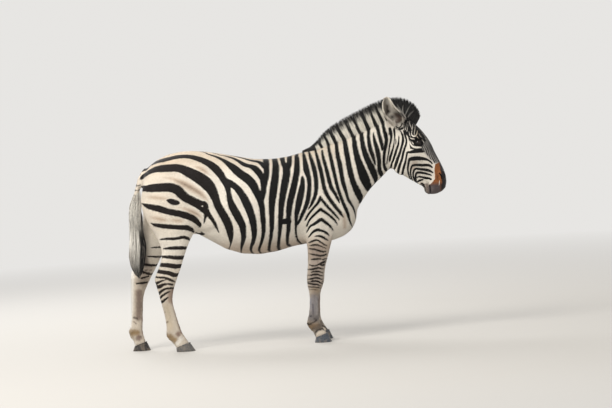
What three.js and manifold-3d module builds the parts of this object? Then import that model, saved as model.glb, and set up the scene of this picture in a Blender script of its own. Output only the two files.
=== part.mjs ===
// A plains zebra as a still, life-size model, standing square in front with one hind foot drawn back.
// Millimetres, +Z up, +X towards the head, +Y towards the animal's left. The hooves stand on Z = 0.
//
// The body is lofted from "rungs". A rung is a bar across a limb or the trunk, seen from the side: its
// two ends lie on the outline, and the section there is a closed oval that reaches both ends and a half
// width sideways.
// The lofts are joined into one body, and thin cuts part it into head, neck, trunk, tail and legs.
import * as THREE from "three";
import { mergeVertices } from "three/addons/utils/BufferGeometryUtils.js";
import Module from "manifold-3d";

const wasm = await Module();
wasm.setup();

// ---- driving dimensions, mm ----
const GAP = 0.4; // left open between two pieces that meet
const HALF_GAP = GAP / 2;
const HIND_TRACK = 130; // from the mid plane to the middle of a hind leg
const FORE_TRACK = 122; // from the mid plane to the middle of a foreleg
const FAR_FORE_AHEAD = 12; // the left foreleg stands this far ahead of the right one
const EYE_RADIUS = 21;
const EYE = new THREE.Vector3(938, 79, 1303); // middle of the left eyeball
const EAR_THICKNESS = 6;
const TAIL_HAIR_TOP = 985; // where the dock ends and the switch of long hair begins
const FAR = 3000; // larger than the animal, for half spaces

// ---- rungs ----
// [end A x, end A z, end B x, end B z, half width]. A is the upper or front end.

// Rump to breast. The last two numbers shape the upper half and place the widest level, from belly 0 to
// back 1.
const TRUNK = [
  // back, belly, half width, upper shape, widest level
  [-950, 1165, -944, 1050, 46, 2.0, 0.5],
  [-932, 1222, -926, 960, 118, 2.0, 0.52],
  [-895, 1264, -890, 885, 168, 2.0, 0.55],
  [-838, 1304, -838, 830, 197, 2.0, 0.58],
  [-760, 1336, -765, 792, 222, 2.0, 0.58],
  [-675, 1350, -680, 778, 235, 2.0, 0.55],
  [-590, 1350, -595, 778, 243, 2.0, 0.52],
  [-510, 1340, -515, 730, 249, 2.0, 0.48],
  [-410, 1321, -410, 664, 258, 2.05, 0.45],
  [-300, 1295, -300, 625, 265, 2.1, 0.43],
  [-180, 1268, -180, 613, 266, 2.1, 0.42],
  [-60, 1260, -60, 626, 256, 2.0, 0.42],
  [50, 1270, 50, 652, 240, 1.8, 0.42],
  [150, 1292, 160, 666, 222, 1.6, 0.42],
  [235, 1303, 250, 668, 205, 1.55, 0.42],
  [310, 1270, 330, 677, 190, 1.7, 0.42],
  [370, 1190, 398, 700, 176, 1.9, 0.42],
  [420, 1090, 452, 738, 158, 2.0, 0.42],
  [455, 990, 484, 792, 130, 2.1, 0.42],
  [480, 930, 498, 850, 80, 2.0, 0.5],
];

// Shoulder to poll: crest, throat.
const NECK = [
  [150, 1262, 330, 760, 110, 1.7, 0.42],
  [212, 1300, 478, 822, 128, 1.7, 0.4],
  [285, 1322, 520, 902, 113, 1.75, 0.4],
  [375, 1352, 560, 957, 98, 1.8, 0.42],
  [475, 1378, 604, 1012, 88, 1.85, 0.45],
  [565, 1410, 650, 1054, 82, 1.9, 0.48],
  [645, 1440, 692, 1090, 79, 1.95, 0.5],
  [725, 1474, 738, 1134, 78, 2.0, 0.52],
  [790, 1490, 775, 1190, 70, 2.0, 0.55],
];

// Poll to lips: forehead and nose, jaw and chin.
const HEAD = [
  [792, 1488, 745, 1260, 56, 2.0, 0.6],
  [846, 1494, 730, 1180, 80, 2.1, 0.64],
  [894, 1464, 742, 1138, 88, 2.3, 0.66],
  [930, 1432, 772, 1119, 94, 2.5, 0.68],
  [960, 1400, 808, 1096, 98, 2.6, 0.68],
  [985, 1367, 835, 1074, 95, 2.6, 0.66],
  [1012, 1327, 862, 1056, 86, 2.5, 0.62],
  [1034, 1283, 890, 1038, 76, 2.4, 0.58],
  [1051, 1236, 918, 1020, 67, 2.3, 0.54],
  [1072, 1190, 941, 1005, 61, 2.3, 0.52],
  [1091, 1148, 955, 990, 57, 2.3, 0.52],
  [1107, 1108, 960, 972, 56, 2.3, 0.54],
  [1118, 1066, 966, 957, 56, 2.3, 0.56],
  [1120, 1026, 984, 947, 52, 2.3, 0.56],
  [1111, 986, 1010, 942, 44, 2.2, 0.54],
  [1088, 962, 1042, 943, 27, 2.0, 0.5],
];

// A hind leg from hip to coronet: half widths and the sideways drift of its middle, then each leg's
// outline.
const HIND_WIDTHS = [
  70, 94, 103, 102, 92, 79, 67, 58, 50, 43, 38, 37, 39, 37, 31, 27, 25, 26, 32, 32, 29, 35,
];
const HIND_DRIFT = [
  -22, -10, -4, 0, 0, 0, 2, 3, 5, 6, 7, 7, 7, 6, 5, 4, 3, 2, 1, 0, 0, 0,
];
const RIGHT_HIND = [
  [-560, 1180, -900, 1200],
  [-532, 1065, -950, 1120],
  [-522, 965, -966, 1030],
  [-545, 885, -956, 955],
  [-590, 818, -930, 888],
  [-628, 770, -896, 822],
  [-655, 717, -864, 755],
  [-678, 665, -846, 697],
  [-698, 612, -852, 642],
  [-715, 565, -866, 592],
  [-735, 520, -888, 545],
  [-752, 480, -906, 500],
  [-768, 440, -895, 448],
  [-780, 400, -883, 398],
  [-787, 360, -874, 350],
  [-785, 320, -864, 305],
  [-770, 250, -852, 238],
  [-757, 195, -846, 180],
  [-739, 132, -850, 114],
  [-722, 102, -835, 85],
  [-707, 77, -808, 56],
  [-695, 56, -786, 26],
];
const LEFT_HIND = [
  [-600, 1180, -905, 1200],
  [-590, 1065, -952, 1120],
  [-602, 970, -967, 1035],
  [-640, 895, -968, 958],
  [-695, 835, -972, 893],
  [-748, 785, -984, 830],
  [-795, 728, -1005, 765],
  [-830, 672, -1022, 705],
  [-862, 622, -1038, 650],
  [-890, 574, -1054, 602],
  [-918, 528, -1072, 553],
  [-942, 488, -1082, 508],
  [-964, 448, -1083, 458],
  [-984, 408, -1086, 412],
  [-997, 368, -1089, 368],
  [-1003, 325, -1092, 322],
  [-1009, 255, -1094, 252],
  [-1014, 200, -1099, 196],
  [-1020, 142, -1120, 138],
  [-1016, 112, -1112, 100],
  [-1009, 84, -1093, 68],
  [-1002, 58, -1084, 30],
];

// A foreleg from shoulder to coronet.
const FORE_WIDTHS = [
  48, 68, 78, 75, 67, 59, 53, 47, 42, 39, 38, 42, 40, 33, 26, 25, 26, 31, 34, 31, 28, 35,
];
const FORE_DRIFT = [
  -26, -14, -6, -2, 0, 0, 0, 0, 0, 0, 0, 0, 0, 0, 0, 0, 0, 0, 0, 0, 0, 0,
];
const FORE = [
  [322, 1150, 130, 1150],
  [372, 1000, 108, 1010],
  [392, 885, 104, 905],
  [372, 800, 108, 822],
  [343, 740, 120, 752],
  [314, 690, 132, 700],
  [296, 640, 138, 645],
  [280, 590, 138, 595],
  [264, 540, 136, 545],
  [251, 500, 131, 503],
  [242, 460, 125, 462],
  [237, 420, 121, 420],
  [228, 385, 124, 382],
  [211, 345, 131, 345],
  [201, 300, 133, 298],
  [196, 240, 127, 238],
  [194, 195, 119, 190],
  [193, 162, 107, 158],
  [199, 134, 103, 130],
  [210, 108, 118, 100],
  [225, 83, 141, 70],
  [239, 60, 160, 30],
];

// Each hoof: toe and heel on the ground.
const HOOF_HALF_WIDTH = 50;
const HOOVES = {
  hind_right: { toe: -656, heel: -787 },
  hind_left: { toe: -974, heel: -1098 },
  fore_right: { toe: 268, heel: 150 },
  fore_left: { toe: 268 + FAR_FORE_AHEAD, heel: 150 + FAR_FORE_AHEAD },
};

// The upright mane, from the withers to the forelock: tips of the hair, roots just under the crest.
const MANE = [
  [150, 1299, 158, 1278, 7],
  [205, 1320, 215, 1288, 15],
  [252, 1360, 270, 1300, 21],
  [300, 1411, 328, 1318, 25],
  [358, 1455, 390, 1338, 27],
  [430, 1494, 470, 1362, 28],
  [500, 1526, 538, 1384, 28],
  [570, 1557, 600, 1408, 28],
  [638, 1585, 658, 1432, 28],
  [704, 1606, 714, 1456, 28],
  [768, 1620, 772, 1470, 28],
  [832, 1618, 826, 1480, 29],
  [888, 1598, 862, 1470, 31],
  [932, 1564, 888, 1455, 31],
  [960, 1522, 908, 1440, 27],
  [966, 1482, 922, 1428, 19],
  [950, 1452, 930, 1422, 8],
];

// The tail from its root in the rump to the tip of the switch.
const TAIL = [
  [-925, 1262, -895, 1212, 22],
  [-958, 1226, -918, 1182, 26],
  [-984, 1172, -942, 1146, 26],
  [-1001, 1118, -964, 1106, 25],
  [-1018, 1066, -976, 1060, 24],
  [-1036, 1012, -980, 1008, 25],
  [-1046, 950, -984, 950, 29],
  [-1048, 880, -980, 880, 35],
  [-1054, 800, -964, 800, 42],
  [-1064, 715, -953, 722, 46],
  [-1070, 650, -962, 660, 42],
  [-1062, 590, -975, 596, 33],
  [-1046, 545, -990, 545, 22],
  [-1024, 502, -1006, 500, 7],
];

// ---- lofting ----

// Numbers of a table part way between its rows, on a curve through all of them.
function between(rows, row, share) {
  const at = (i) => rows[Math.min(Math.max(i, 0), rows.length - 1)];
  const [before, from, to, after] = [at(row - 1), at(row), at(row + 1), at(row + 2)];
  return from.map((value, k) => {
    const leave = (to[k] - before[k]) / 2;
    const arrive = (after[k] - value) / 2;
    const s2 = share * share;
    const s3 = s2 * share;
    return (
      (2 * s3 - 3 * s2 + 1) * value +
      (s3 - 2 * s2 + share) * leave +
      (3 * s2 - 2 * s3) * to[k] +
      (s3 - s2) * arrive
    );
  });
}

const signedPower = (value, power) => Math.sign(value) * Math.abs(value) ** power;

// One section's points. y is the middle of the section; grow makes it that much larger all round.
function section([ax, az, bx, bz, half, shape = 2, widest = 0.5], y, sides, grow) {
  const a = new THREE.Vector2(ax, az);
  const b = new THREE.Vector2(bx, bz);
  const out = a.clone().sub(b).setLength(grow);
  a.add(out);
  b.sub(out);
  const middle = b.clone().lerp(a, widest);
  const points = [];
  for (let k = 0; k < sides; k++) {
    const turn = (2 * Math.PI * k) / sides;
    const up = signedPower(Math.cos(turn), 2 / shape);
    const across = signedPower(Math.sin(turn), 2 / (up > 0 ? shape : 2.1));
    const p = middle.clone().lerp(up > 0 ? a : b, Math.abs(up));
    points.push(new THREE.Vector3(p.x, y + across * (half + grow), p.y));
  }
  return points;
}

// A closed surface through rings of points, with a fan of triangles over each end.
function skinOver(rings) {
  const sides = rings[0].length;
  const position = [];
  const index = [];
  const put = (p) => position.push(p.x, p.y, p.z) / 3 - 1;
  for (const ring of rings) ring.forEach(put);
  const middle = (ring) =>
    ring.reduce((sum, p) => sum.add(p), new THREE.Vector3()).divideScalar(sides);
  const first = put(middle(rings[0]));
  const last = put(middle(rings[rings.length - 1]));
  const top = (rings.length - 1) * sides;
  for (let k = 0; k < sides; k++) {
    const next = (k + 1) % sides;
    for (let r = 0; r < top; r += sides) {
      index.push(r + k, r + sides + next, r + next, r + k, r + sides + k, r + sides + next);
    }
    index.push(first, k, next, last, top + next, top + k);
  }
  const geometry = new THREE.BufferGeometry();
  geometry.setAttribute("position", new THREE.Float32BufferAttribute(position, 3));
  geometry.setIndex(index);
  return geometry;
}

// A loft through a table of rungs, with extra rings between them. drift moves each section's middle
// sideways.
function loft(rungs, { y = 0, drift = null, sides = 16, steps = 1, grow = 0 } = {}) {
  const side = Math.sign(y) || 1;
  const rows = rungs.map((rung, i) => [y + side * (drift ? drift[i] : 0), ...rung]);
  const rings = [];
  for (let i = 0; i < rows.length - 1; i++) {
    for (let s = 0; s < steps; s++) {
      const [middle, ...rung] = between(rows, i, s / steps);
      rings.push(section(rung, middle, sides, grow));
    }
  }
  const [middle, ...rung] = rows[rows.length - 1];
  rings.push(section(rung, middle, sides, grow));
  return skinOver(rings);
}

// ---- joining and cutting ----

function solid(geometry) {
  const bare = geometry.clone();
  for (const name of Object.keys(bare.attributes)) {
    if (name !== "position") bare.deleteAttribute(name);
  }
  const merged = mergeVertices(bare, 1e-3);
  const made = new wasm.Manifold(
    new wasm.Mesh({
      numProp: 3,
      vertProperties: merged.attributes.position.array,
      triVerts: new Uint32Array(merged.index.array),
    }),
  );
  if (made.volume() > 0) return made;
  const index = merged.index.array;
  for (let i = 0; i < index.length; i += 3) {
    [index[i], index[i + 1]] = [index[i + 1], index[i]];
  }
  return new wasm.Manifold(
    new wasm.Mesh({
      numProp: 3,
      vertProperties: merged.attributes.position.array,
      triVerts: new Uint32Array(index),
    }),
  );
}

const joined = (solids) => solids.reduce((sum, next) => sum.add(next));

function ellipsoid([x, y, z], [rx, ry, rz], grow = 0, lean = 0) {
  const ball = new THREE.SphereGeometry(1, 12, 8);
  ball.scale(rx + grow, ry + grow, rz + grow).rotateY(lean);
  return solid(ball.translate(x, y, z));
}

// Everything on one side of a plane through a point. The solid lies on the side that the normal leaves.
function halfSpace(point, normal) {
  const box = new THREE.BoxGeometry(FAR, FAR, FAR).translate(0, 0, -FAR / 2);
  const turn = new THREE.Quaternion().setFromUnitVectors(
    new THREE.Vector3(0, 0, 1),
    normal.clone().normalize(),
  );
  box.applyQuaternion(turn).translate(point.x, point.y, point.z);
  return solid(box);
}

// A half space whose face crosses a rung, square to the limb, so that it holds what lies beyond the rung.
function beyond([ax, az, bx, bz], back = 0) {
  const along = new THREE.Vector3(ax - bx, 0, az - bz).normalize();
  const normal = new THREE.Vector3(-along.z, 0, along.x).multiplyScalar(-1);
  const point = new THREE.Vector3((ax + bx) / 2, 0, (az + bz) / 2);
  return halfSpace(point.addScaledVector(normal, -back), normal.negate());
}

// ---- the body ----

const mirrorY = ([x, y, z]) => [x, -y, z];
const aheadBy = (rungs, dx) => rungs.map(([ax, az, bx, bz]) => [ax + dx, az, bx + dx, bz]);
const withWidths = (outline, widths) => outline.map((ends, i) => [...ends, widths[i]]);

const LEGS = {
  hind_right: { outline: RIGHT_HIND, widths: HIND_WIDTHS, drift: HIND_DRIFT, y: -HIND_TRACK },
  hind_left: { outline: LEFT_HIND, widths: HIND_WIDTHS, drift: HIND_DRIFT, y: HIND_TRACK },
  fore_right: { outline: FORE, widths: FORE_WIDTHS, drift: FORE_DRIFT, y: -FORE_TRACK },
  fore_left: {
    outline: aheadBy(FORE, FAR_FORE_AHEAD),
    widths: FORE_WIDTHS,
    drift: FORE_DRIFT,
    y: FORE_TRACK,
  },
};

// Masses that stand out of the lofts, on the left side: middle, radii, lean about Y.
const MASSES = [
  { at: [838, 48, 1188], radii: [86, 34, 108], lean: 0.35 }, // cheek
  { at: [945, 74, 1338], radii: [42, 26, 22], lean: 0.9 }, // brow over the eye
  { at: [808, 56, 1440], radii: [38, 26, 36], lean: 0 }, // root of the ear
  { at: [1090, 36, 1076], radii: [24, 20, 40], lean: -0.3 }, // nostril wing
];

function legLoft({ outline, widths, drift, y }, grow) {
  return solid(loft(withWidths(outline, widths), { y, drift, sides: 12, grow }));
}

// The whole body in one piece, without hooves, ears, mane or tail.
function wholeBody(grow) {
  const lofts = [
    solid(loft(TRUNK, { sides: 24, grow })),
    solid(loft(NECK, { sides: 18, grow })),
    solid(loft(HEAD, { sides: 18, grow })),
    ...Object.values(LEGS).map((leg) => legLoft(leg, grow)),
  ];
  const masses = MASSES.flatMap(({ at, radii, lean }) =>
    [at, mirrorY(at)].map((middle) => ellipsoid(middle, radii, grow, lean)),
  );
  return joined([...lofts, ...masses]);
}

// ---- thin cuts ----

const HEAD_CUT = { point: new THREE.Vector3(761, 0, 1300), normal: new THREE.Vector3(-0.995, 0, 0.1) };
const NECK_CUT = { point: new THREE.Vector3(345, 0, 1100), normal: new THREE.Vector3(-0.86, 0, -0.5) };
const THIGH_TOP = { y: 30, z: 785, rise: 0.9 }; // the cut over a thigh climbs outwards from the groin
const FOREARM_TOP = { y: 50, z: 655, rise: 0.5 };
const FLANK_CUTS = {
  hind_right: { point: new THREE.Vector3(-516, 0, 965), normal: new THREE.Vector3(0.908, 0, -0.42) },
  hind_left: { point: new THREE.Vector3(-592, 0, 970), normal: new THREE.Vector3(0.823, 0, -0.567) },
};
const STIFLE = { x: -560, z: 740 }; // all that lies lower and further back belongs to a hind leg
const ELBOW_CUT = { point: new THREE.Vector3(84, 0, 0), normal: new THREE.Vector3(-1, 0, 0) };
const HOCK_RUNG = 13; // the lower leg starts here
const KNEE_RUNG = 12;

const shifted = ({ point, normal }, by) =>
  halfSpace(point.clone().addScaledVector(normal.clone().normalize(), by), normal);

// What lies under a plane that climbs outwards, on one side of the mid plane.
function underSlope({ y, z, rise }, side) {
  const normal = new THREE.Vector3(0, -rise * side, 1).normalize();
  const under = halfSpace(new THREE.Vector3(0, side * y, z), normal);
  const ownSide = halfSpace(new THREE.Vector3(0, side * HALF_GAP, 0), new THREE.Vector3(0, -side, 0));
  return under.intersect(ownSide);
}

function legRegion(name) {
  const side = name.endsWith("right") ? -1 : 1;
  if (name.startsWith("fore")) return underSlope(FOREARM_TOP, side).intersect(shifted(ELBOW_CUT, 0));
  const lower = halfSpace(new THREE.Vector3(0, 0, STIFLE.z), new THREE.Vector3(0, 0, 1));
  const behind = halfSpace(new THREE.Vector3(STIFLE.x, 0, 0), new THREE.Vector3(1, 0, 0));
  return underSlope(THIGH_TOP, side).intersect(shifted(FLANK_CUTS[name], 0).add(lower.intersect(behind)));
}

// A region with its faces moved out by the gap, to take away from the neighbour.
function widened(region) {
  const moves = [GAP, -GAP].flatMap((by) => [[by, 0, 0], [0, by, 0], [0, 0, by]]);
  return joined([region, ...moves.map((move) => region.translate(move))]);
}

// ---- hooves, ears, eyes ----

function hoof(name) {
  const { outline, y } = LEGS[name];
  const { toe, heel } = HOOVES[name];
  const [ax, az, bx, bz] = outline[outline.length - 1];
  const rungs = [
    [ax + 3, az - 1 - HALF_GAP, bx - 2, bz - 1 - HALF_GAP, 38, 2.3, 0.5],
    [(ax + toe) / 2 + 2, az / 2, (bx + heel) / 2, bz / 2, 45, 2.4, 0.5],
    [toe, 0, heel, 0, HOOF_HALF_WIDTH, 2.4, 0.52],
  ];
  return solid(loft(rungs, { y, sides: 16, steps: 2 }));
}

// A leaf-shaped cupped ear, the right one, from root to tip: middle, half width, half angle of the
// leaf's curl.
const EAR = [
  [812, -60, 1414, 29, 2.7],
  [808, -66, 1440, 43, 2.6],
  [794, -74, 1468, 56, 2.3],
  [770, -83, 1500, 55, 2.0],
  [752, -90, 1530, 47, 1.8],
  [742, -95, 1560, 43, 1.65],
  [739, -98, 1586, 37, 1.5],
  [738, -99, 1604, 30, 1.4],
  [738, -98, 1616, 19, 1.3],
];
const EAR_FACING = new THREE.Vector3(0.34, -0.93, 0.12); // the way that the cup opens

function earLeaf(side) {
  const arcs = 6;
  const point = ([x, y, z]) => new THREE.Vector3(x, y, z);
  const along = point(EAR[EAR.length - 1]).sub(point(EAR[0])).normalize();
  const facing = EAR_FACING.clone().addScaledVector(along, -EAR_FACING.dot(along)).normalize();
  const across = new THREE.Vector3().crossVectors(along, facing);
  const rings = EAR.map((station, i) => {
    const [half, opening] = station.slice(3);
    const radius = half / Math.sin(Math.min(opening, Math.PI / 2));
    const thick = EAR_THICKNESS * (1 - (0.45 * i) / EAR.length);
    const rim = (r, turn) =>
      point(station)
        .addScaledVector(across, r * Math.sin(turn))
        .addScaledVector(facing, -r * Math.cos(turn) + 0.35 * radius);
    const ring = [];
    for (let k = 0; k <= arcs; k++) ring.push(rim(radius, opening * ((2 * k) / arcs - 1)));
    for (let k = arcs; k >= 0; k--) ring.push(rim(radius - thick, opening * ((2 * k) / arcs - 1)));
    return ring.map((p) => new THREE.Vector3(p.x, side < 0 ? p.y : -p.y, p.z));
  });
  return stripCapped(rings, arcs);
}

// As skinOver, but each end is closed by a strip across the C-shaped section.
function stripCapped(rings, arcs) {
  const geometry = skinOver(rings);
  const sides = rings[0].length;
  const index = Array.from(geometry.index.array);
  const kept = [];
  const firstFan = rings.length * sides;
  for (let i = 0; i < index.length; i += 3) {
    const face = index.slice(i, i + 3);
    if (face.every((v) => v < firstFan)) kept.push(...face);
  }
  const top = (rings.length - 1) * sides;
  for (let k = 0; k < arcs; k++) {
    const opposite = sides - 1 - k;
    kept.push(k, k + 1, opposite - 1, k, opposite - 1, opposite);
    kept.push(top + k, top + opposite - 1, top + k + 1, top + k, top + opposite, top + opposite - 1);
  }
  geometry.setIndex(kept);
  return geometry;
}

// ---- parting the body into nodes ----

const nodes = {};
const grown = wholeBody(GAP);
const eyeBalls = { eye_left: EYE.toArray(), eye_right: mirrorY(EYE.toArray()) };
for (const [name, middle] of Object.entries(eyeBalls)) {
  nodes[name] = ellipsoid(middle, [EYE_RADIUS, EYE_RADIUS, EYE_RADIUS]);
}
let rest = wholeBody(0);
for (const middle of Object.values(eyeBalls)) {
  rest = rest.subtract(ellipsoid(middle, [EYE_RADIUS, EYE_RADIUS, EYE_RADIUS], GAP));
}

nodes.head = rest.intersect(shifted(HEAD_CUT, -HALF_GAP));
rest = rest.subtract(shifted(HEAD_CUT, HALF_GAP));
nodes.neck = rest.intersect(shifted(NECK_CUT, -HALF_GAP));
rest = rest.subtract(shifted(NECK_CUT, HALF_GAP));

for (const [name, { outline }] of Object.entries(LEGS)) {
  const region = legRegion(name);
  const leg = rest.intersect(region);
  rest = rest.subtract(widened(region));
  const joint = outline[name.startsWith("hind") ? HOCK_RUNG : KNEE_RUNG];
  nodes[`leg_${name}_upper`] = leg.subtract(beyond(joint, HALF_GAP));
  nodes[`leg_${name}_lower`] = leg.intersect(beyond(joint, -HALF_GAP));
  nodes[`hoof_${name}`] = hoof(name);
}
nodes.trunk = rest;

nodes.mane = solid(
  loft(MANE.map((rung) => [...rung, 1.8, 0.35]), { sides: 10 }),
).subtract(grown);
const tail = solid(loft(TAIL, { sides: 10 })).subtract(grown);
const underDock = { point: new THREE.Vector3(0, 0, TAIL_HAIR_TOP), normal: new THREE.Vector3(0, 0, 1) };
nodes.tail_dock = tail.subtract(shifted(underDock, HALF_GAP));
nodes.tail_switch = tail.intersect(shifted(underDock, -HALF_GAP));
for (const [name, side] of [["ear_left", 1], ["ear_right", -1]]) {
  nodes[name] = solid(earLeaf(side)).subtract(grown);
}

// Only the largest body of each cut piece is kept, so that no crumb is left at a crease.
const largest = (s) => s.decompose().reduce((a, b) => (a.volume() > b.volume() ? a : b));

// ---- meshes ----

const finish = (color, roughness) => new THREE.MeshStandardMaterial({ color, roughness, metalness: 0 });
const coat = finish(0xd9cfc0, 0.8);
const hair = finish(0x2a2523, 0.75);
const horn = finish(0x55524f, 0.55);
const eye = finish(0x1a100b, 0.1);
const materialOf = (name) => {
  if (name.startsWith("hoof")) return horn;
  if (name.startsWith("eye")) return eye;
  return name === "mane" || name === "tail_switch" ? hair : coat;
};

const zebra = new THREE.Group();
for (const [name, made] of Object.entries(nodes)) {
  const { vertProperties, triVerts, numProp } = largest(made).getMesh();
  const interleaved = new THREE.InterleavedBuffer(vertProperties, numProp);
  const geometry = new THREE.BufferGeometry();
  geometry.setAttribute("position", new THREE.InterleavedBufferAttribute(interleaved, 3, 0));
  geometry.setIndex(new THREE.BufferAttribute(triVerts, 1));
  const mesh = new THREE.Mesh(geometry, materialOf(name));
  mesh.name = name;
  zebra.add(mesh);
}

// The origin is on the floor, under the middle of the animal's length.
const bounds = new THREE.Box3().setFromObject(zebra);
zebra.position.set(-(bounds.min.x + bounds.max.x) / 2, -(bounds.min.y + bounds.max.y) / 2, 0);

export default zebra;
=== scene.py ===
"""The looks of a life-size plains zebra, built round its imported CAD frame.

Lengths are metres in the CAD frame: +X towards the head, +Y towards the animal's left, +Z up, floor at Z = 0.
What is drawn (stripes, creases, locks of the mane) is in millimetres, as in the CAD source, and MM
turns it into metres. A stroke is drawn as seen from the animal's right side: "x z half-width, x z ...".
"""

import math
from contextlib import contextmanager

import bmesh
import bpy
import numpy as np
from mathutils import Matrix, Vector
from mathutils.bvhtree import BVHTree


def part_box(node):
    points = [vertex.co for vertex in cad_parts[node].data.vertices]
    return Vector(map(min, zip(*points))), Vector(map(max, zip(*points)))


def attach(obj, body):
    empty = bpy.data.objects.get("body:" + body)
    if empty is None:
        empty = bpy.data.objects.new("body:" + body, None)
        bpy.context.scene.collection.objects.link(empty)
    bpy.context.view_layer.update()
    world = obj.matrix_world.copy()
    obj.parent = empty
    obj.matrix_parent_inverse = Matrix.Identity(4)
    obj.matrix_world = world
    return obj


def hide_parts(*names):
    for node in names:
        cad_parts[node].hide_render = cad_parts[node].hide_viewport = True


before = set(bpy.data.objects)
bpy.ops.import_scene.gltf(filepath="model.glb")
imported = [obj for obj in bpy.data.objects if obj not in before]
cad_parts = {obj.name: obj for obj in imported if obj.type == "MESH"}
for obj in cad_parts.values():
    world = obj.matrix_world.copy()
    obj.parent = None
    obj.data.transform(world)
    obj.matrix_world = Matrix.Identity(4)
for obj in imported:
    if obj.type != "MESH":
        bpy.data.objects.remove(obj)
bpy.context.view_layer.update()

MM = 0.001
RNG = np.random.default_rng(7)
RIGHT, LEFT = -1, 1

# ---- what the CAD says ----
EARS = ["ear_left", "ear_right"]
COATED = ("head", "neck", "trunk", "leg", "ear")  # what the names of the flesh nodes begin with
FLESH = [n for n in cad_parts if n.split("_")[0] in COATED] + ["tail_dock"]
EYE_LOW, EYE_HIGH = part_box("eye_right")
EYE_CENTRE = np.array((EYE_LOW + EYE_HIGH) / 2)
EYE_RADIUS = (EYE_HIGH.x - EYE_LOW.x) / 2

# ---- skin ----
VOXEL = 0.006
COAT_DEPTH = 0.003  # how far the skin lies inside the CAD surface
BROAD_SMOOTH = 0.75  # how fast the trunk and neck lose the facets of the CAD solids, per round
FINE_SMOOTH = 0.09  # the same on the head and the lower legs
SMOOTH_ROUNDS = 48

# The left hind leg stands further back than the right one: how far, in mm, at each height.
HIND_SHIFT = [(132, -275), (250, -240), (440, -192), (520, -184), (612, -170), (717, -141), (818, -105),
              (965, -80), (1050, 0)]
FORE_SHIFT = 12

# ---- the sculpted forms: (height, radius, path), mm, a groove where the height is below 0 ----
BODY_FORMS = [
    (6, 26, "200 1230, 250 1110, 330 880"),  # blade of the shoulder
    (-6, 22, "110 1150, 90 900, 110 760"),  # crease behind the shoulder
    (8, 62, "170 800, 215 780"),  # triceps
    (-7, 20, "205 905, 260 800, 300 735"),  # between triceps and breast
    (6, 45, "370 870, 360 800"),  # breast muscle
    (-8, 85, "-420 1150"),  # hollow of the flank
    (-7, 24, "-610 800, -545 790, -470 810"),  # fold of the flank
    (6, 45, "-490 1250"),  # point of the hip
    (-4, 20, "-905 1150, -890 1000, -870 880"),  # groove down the back of the thigh
    (6, 50, "-600 850, -640 800"),  # stifle
    (3, 26, "-330 1000, -280 850"),  # last ribs
    (-3, 14, "-295 1040, -245 880"),
    (-3, 14, "-225 1050, -175 880"),
    (-3, 14, "-155 1060, -115 890"),
    (-6, 20, "700 1170, 590 1040, 470 900"),  # jugular groove
    (5, 26, "740 1405, 700 1370"),  # wing of the atlas
    (-4, 14, "560 1350, 480 1250, 420 1130"),  # between the neck's muscles
    (-5, 13, "752 1400, 744 1330, 742 1180"),  # throat behind the jaw
]
LEG_FORMS = [
    (-5, 13, "-812 720, -845 640, -868 560"),  # hollow before the hock's tendon
    (5, 18, "-792 505, -800 470, -808 440"),  # hock
    (-3, 8, "-838 400, -822 320, -800 210"),  # groove of the hind cannon
    (4, 13, "-772 135, -765 118"),  # hind fetlock
    (4, 20, "222 400, 226 350"),  # knee
    (-3, 8, "176 320, 172 200"),  # groove of the front cannon
    (4, 12, "150 128, 146 112"),  # front fetlock
    (-4, 14, "216 560, 205 470"),  # between the forearm's muscles
    (3, 8, "112 112, 108 104"),  # ergots
    (3, 8, "-742 108, -752 100"),
]
HEAD_FORMS = [
    (4, 9, "928 1236, 958 1203, 985 1172, 1002 1140"),  # crest of the face
    (-3, 11, "938 1200, 968 1165, 985 1130"),
    (3, 12, "1000 1262, 1030 1205, 1052 1158"),  # edge of the nose bone
    (-4, 13, "985 1215, 1012 1172, 1030 1130"),  # hollow beside it
    (-6, 17, "905 1388"),  # temple
    (5, 11, "858 1352, 890 1346, 925 1345, 955 1330"),  # cheekbone's arch and brow
    (-3, 7, "900 1262, 930 1258, 962 1266"),  # under the eye
    (3, 22, "835 1210, 845 1150"),  # cheek muscle
    (-4, 9, "776 1330, 800 1160, 862 1075"),  # its rear edge
    (-3, 7, "950 1100, 925 1062, 905 1045"),  # in front of it
    (-11, 6, "1072 1084, 1082 1066, 1083 1048"),  # nostril
    (-5, 3.4, "1004 938, 1004 962, 1001 990, 998 1010, 990 1026, 976 1038"),  # mouth
    (3, 8, "1016 945, 1016 980, 1012 1010"),  # upper lip
    (3, 8, "990 950, 988 980, 984 1003"),  # lower lip
    (-4, 9, "966 1012, 948 1006"),  # above the chin
    (-1.5, 3, "1022 1032, 1040 1016, 1048 992"),  # wrinkles of the lip
    (-1.5, 3, "1030 1052, 1050 1034, 1058 1006"),
]
NOSTRIL_RIM = (5, 12, 5, "1072 1084, 1082 1066, 1083 1048")  # height, distance, half width, path

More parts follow.
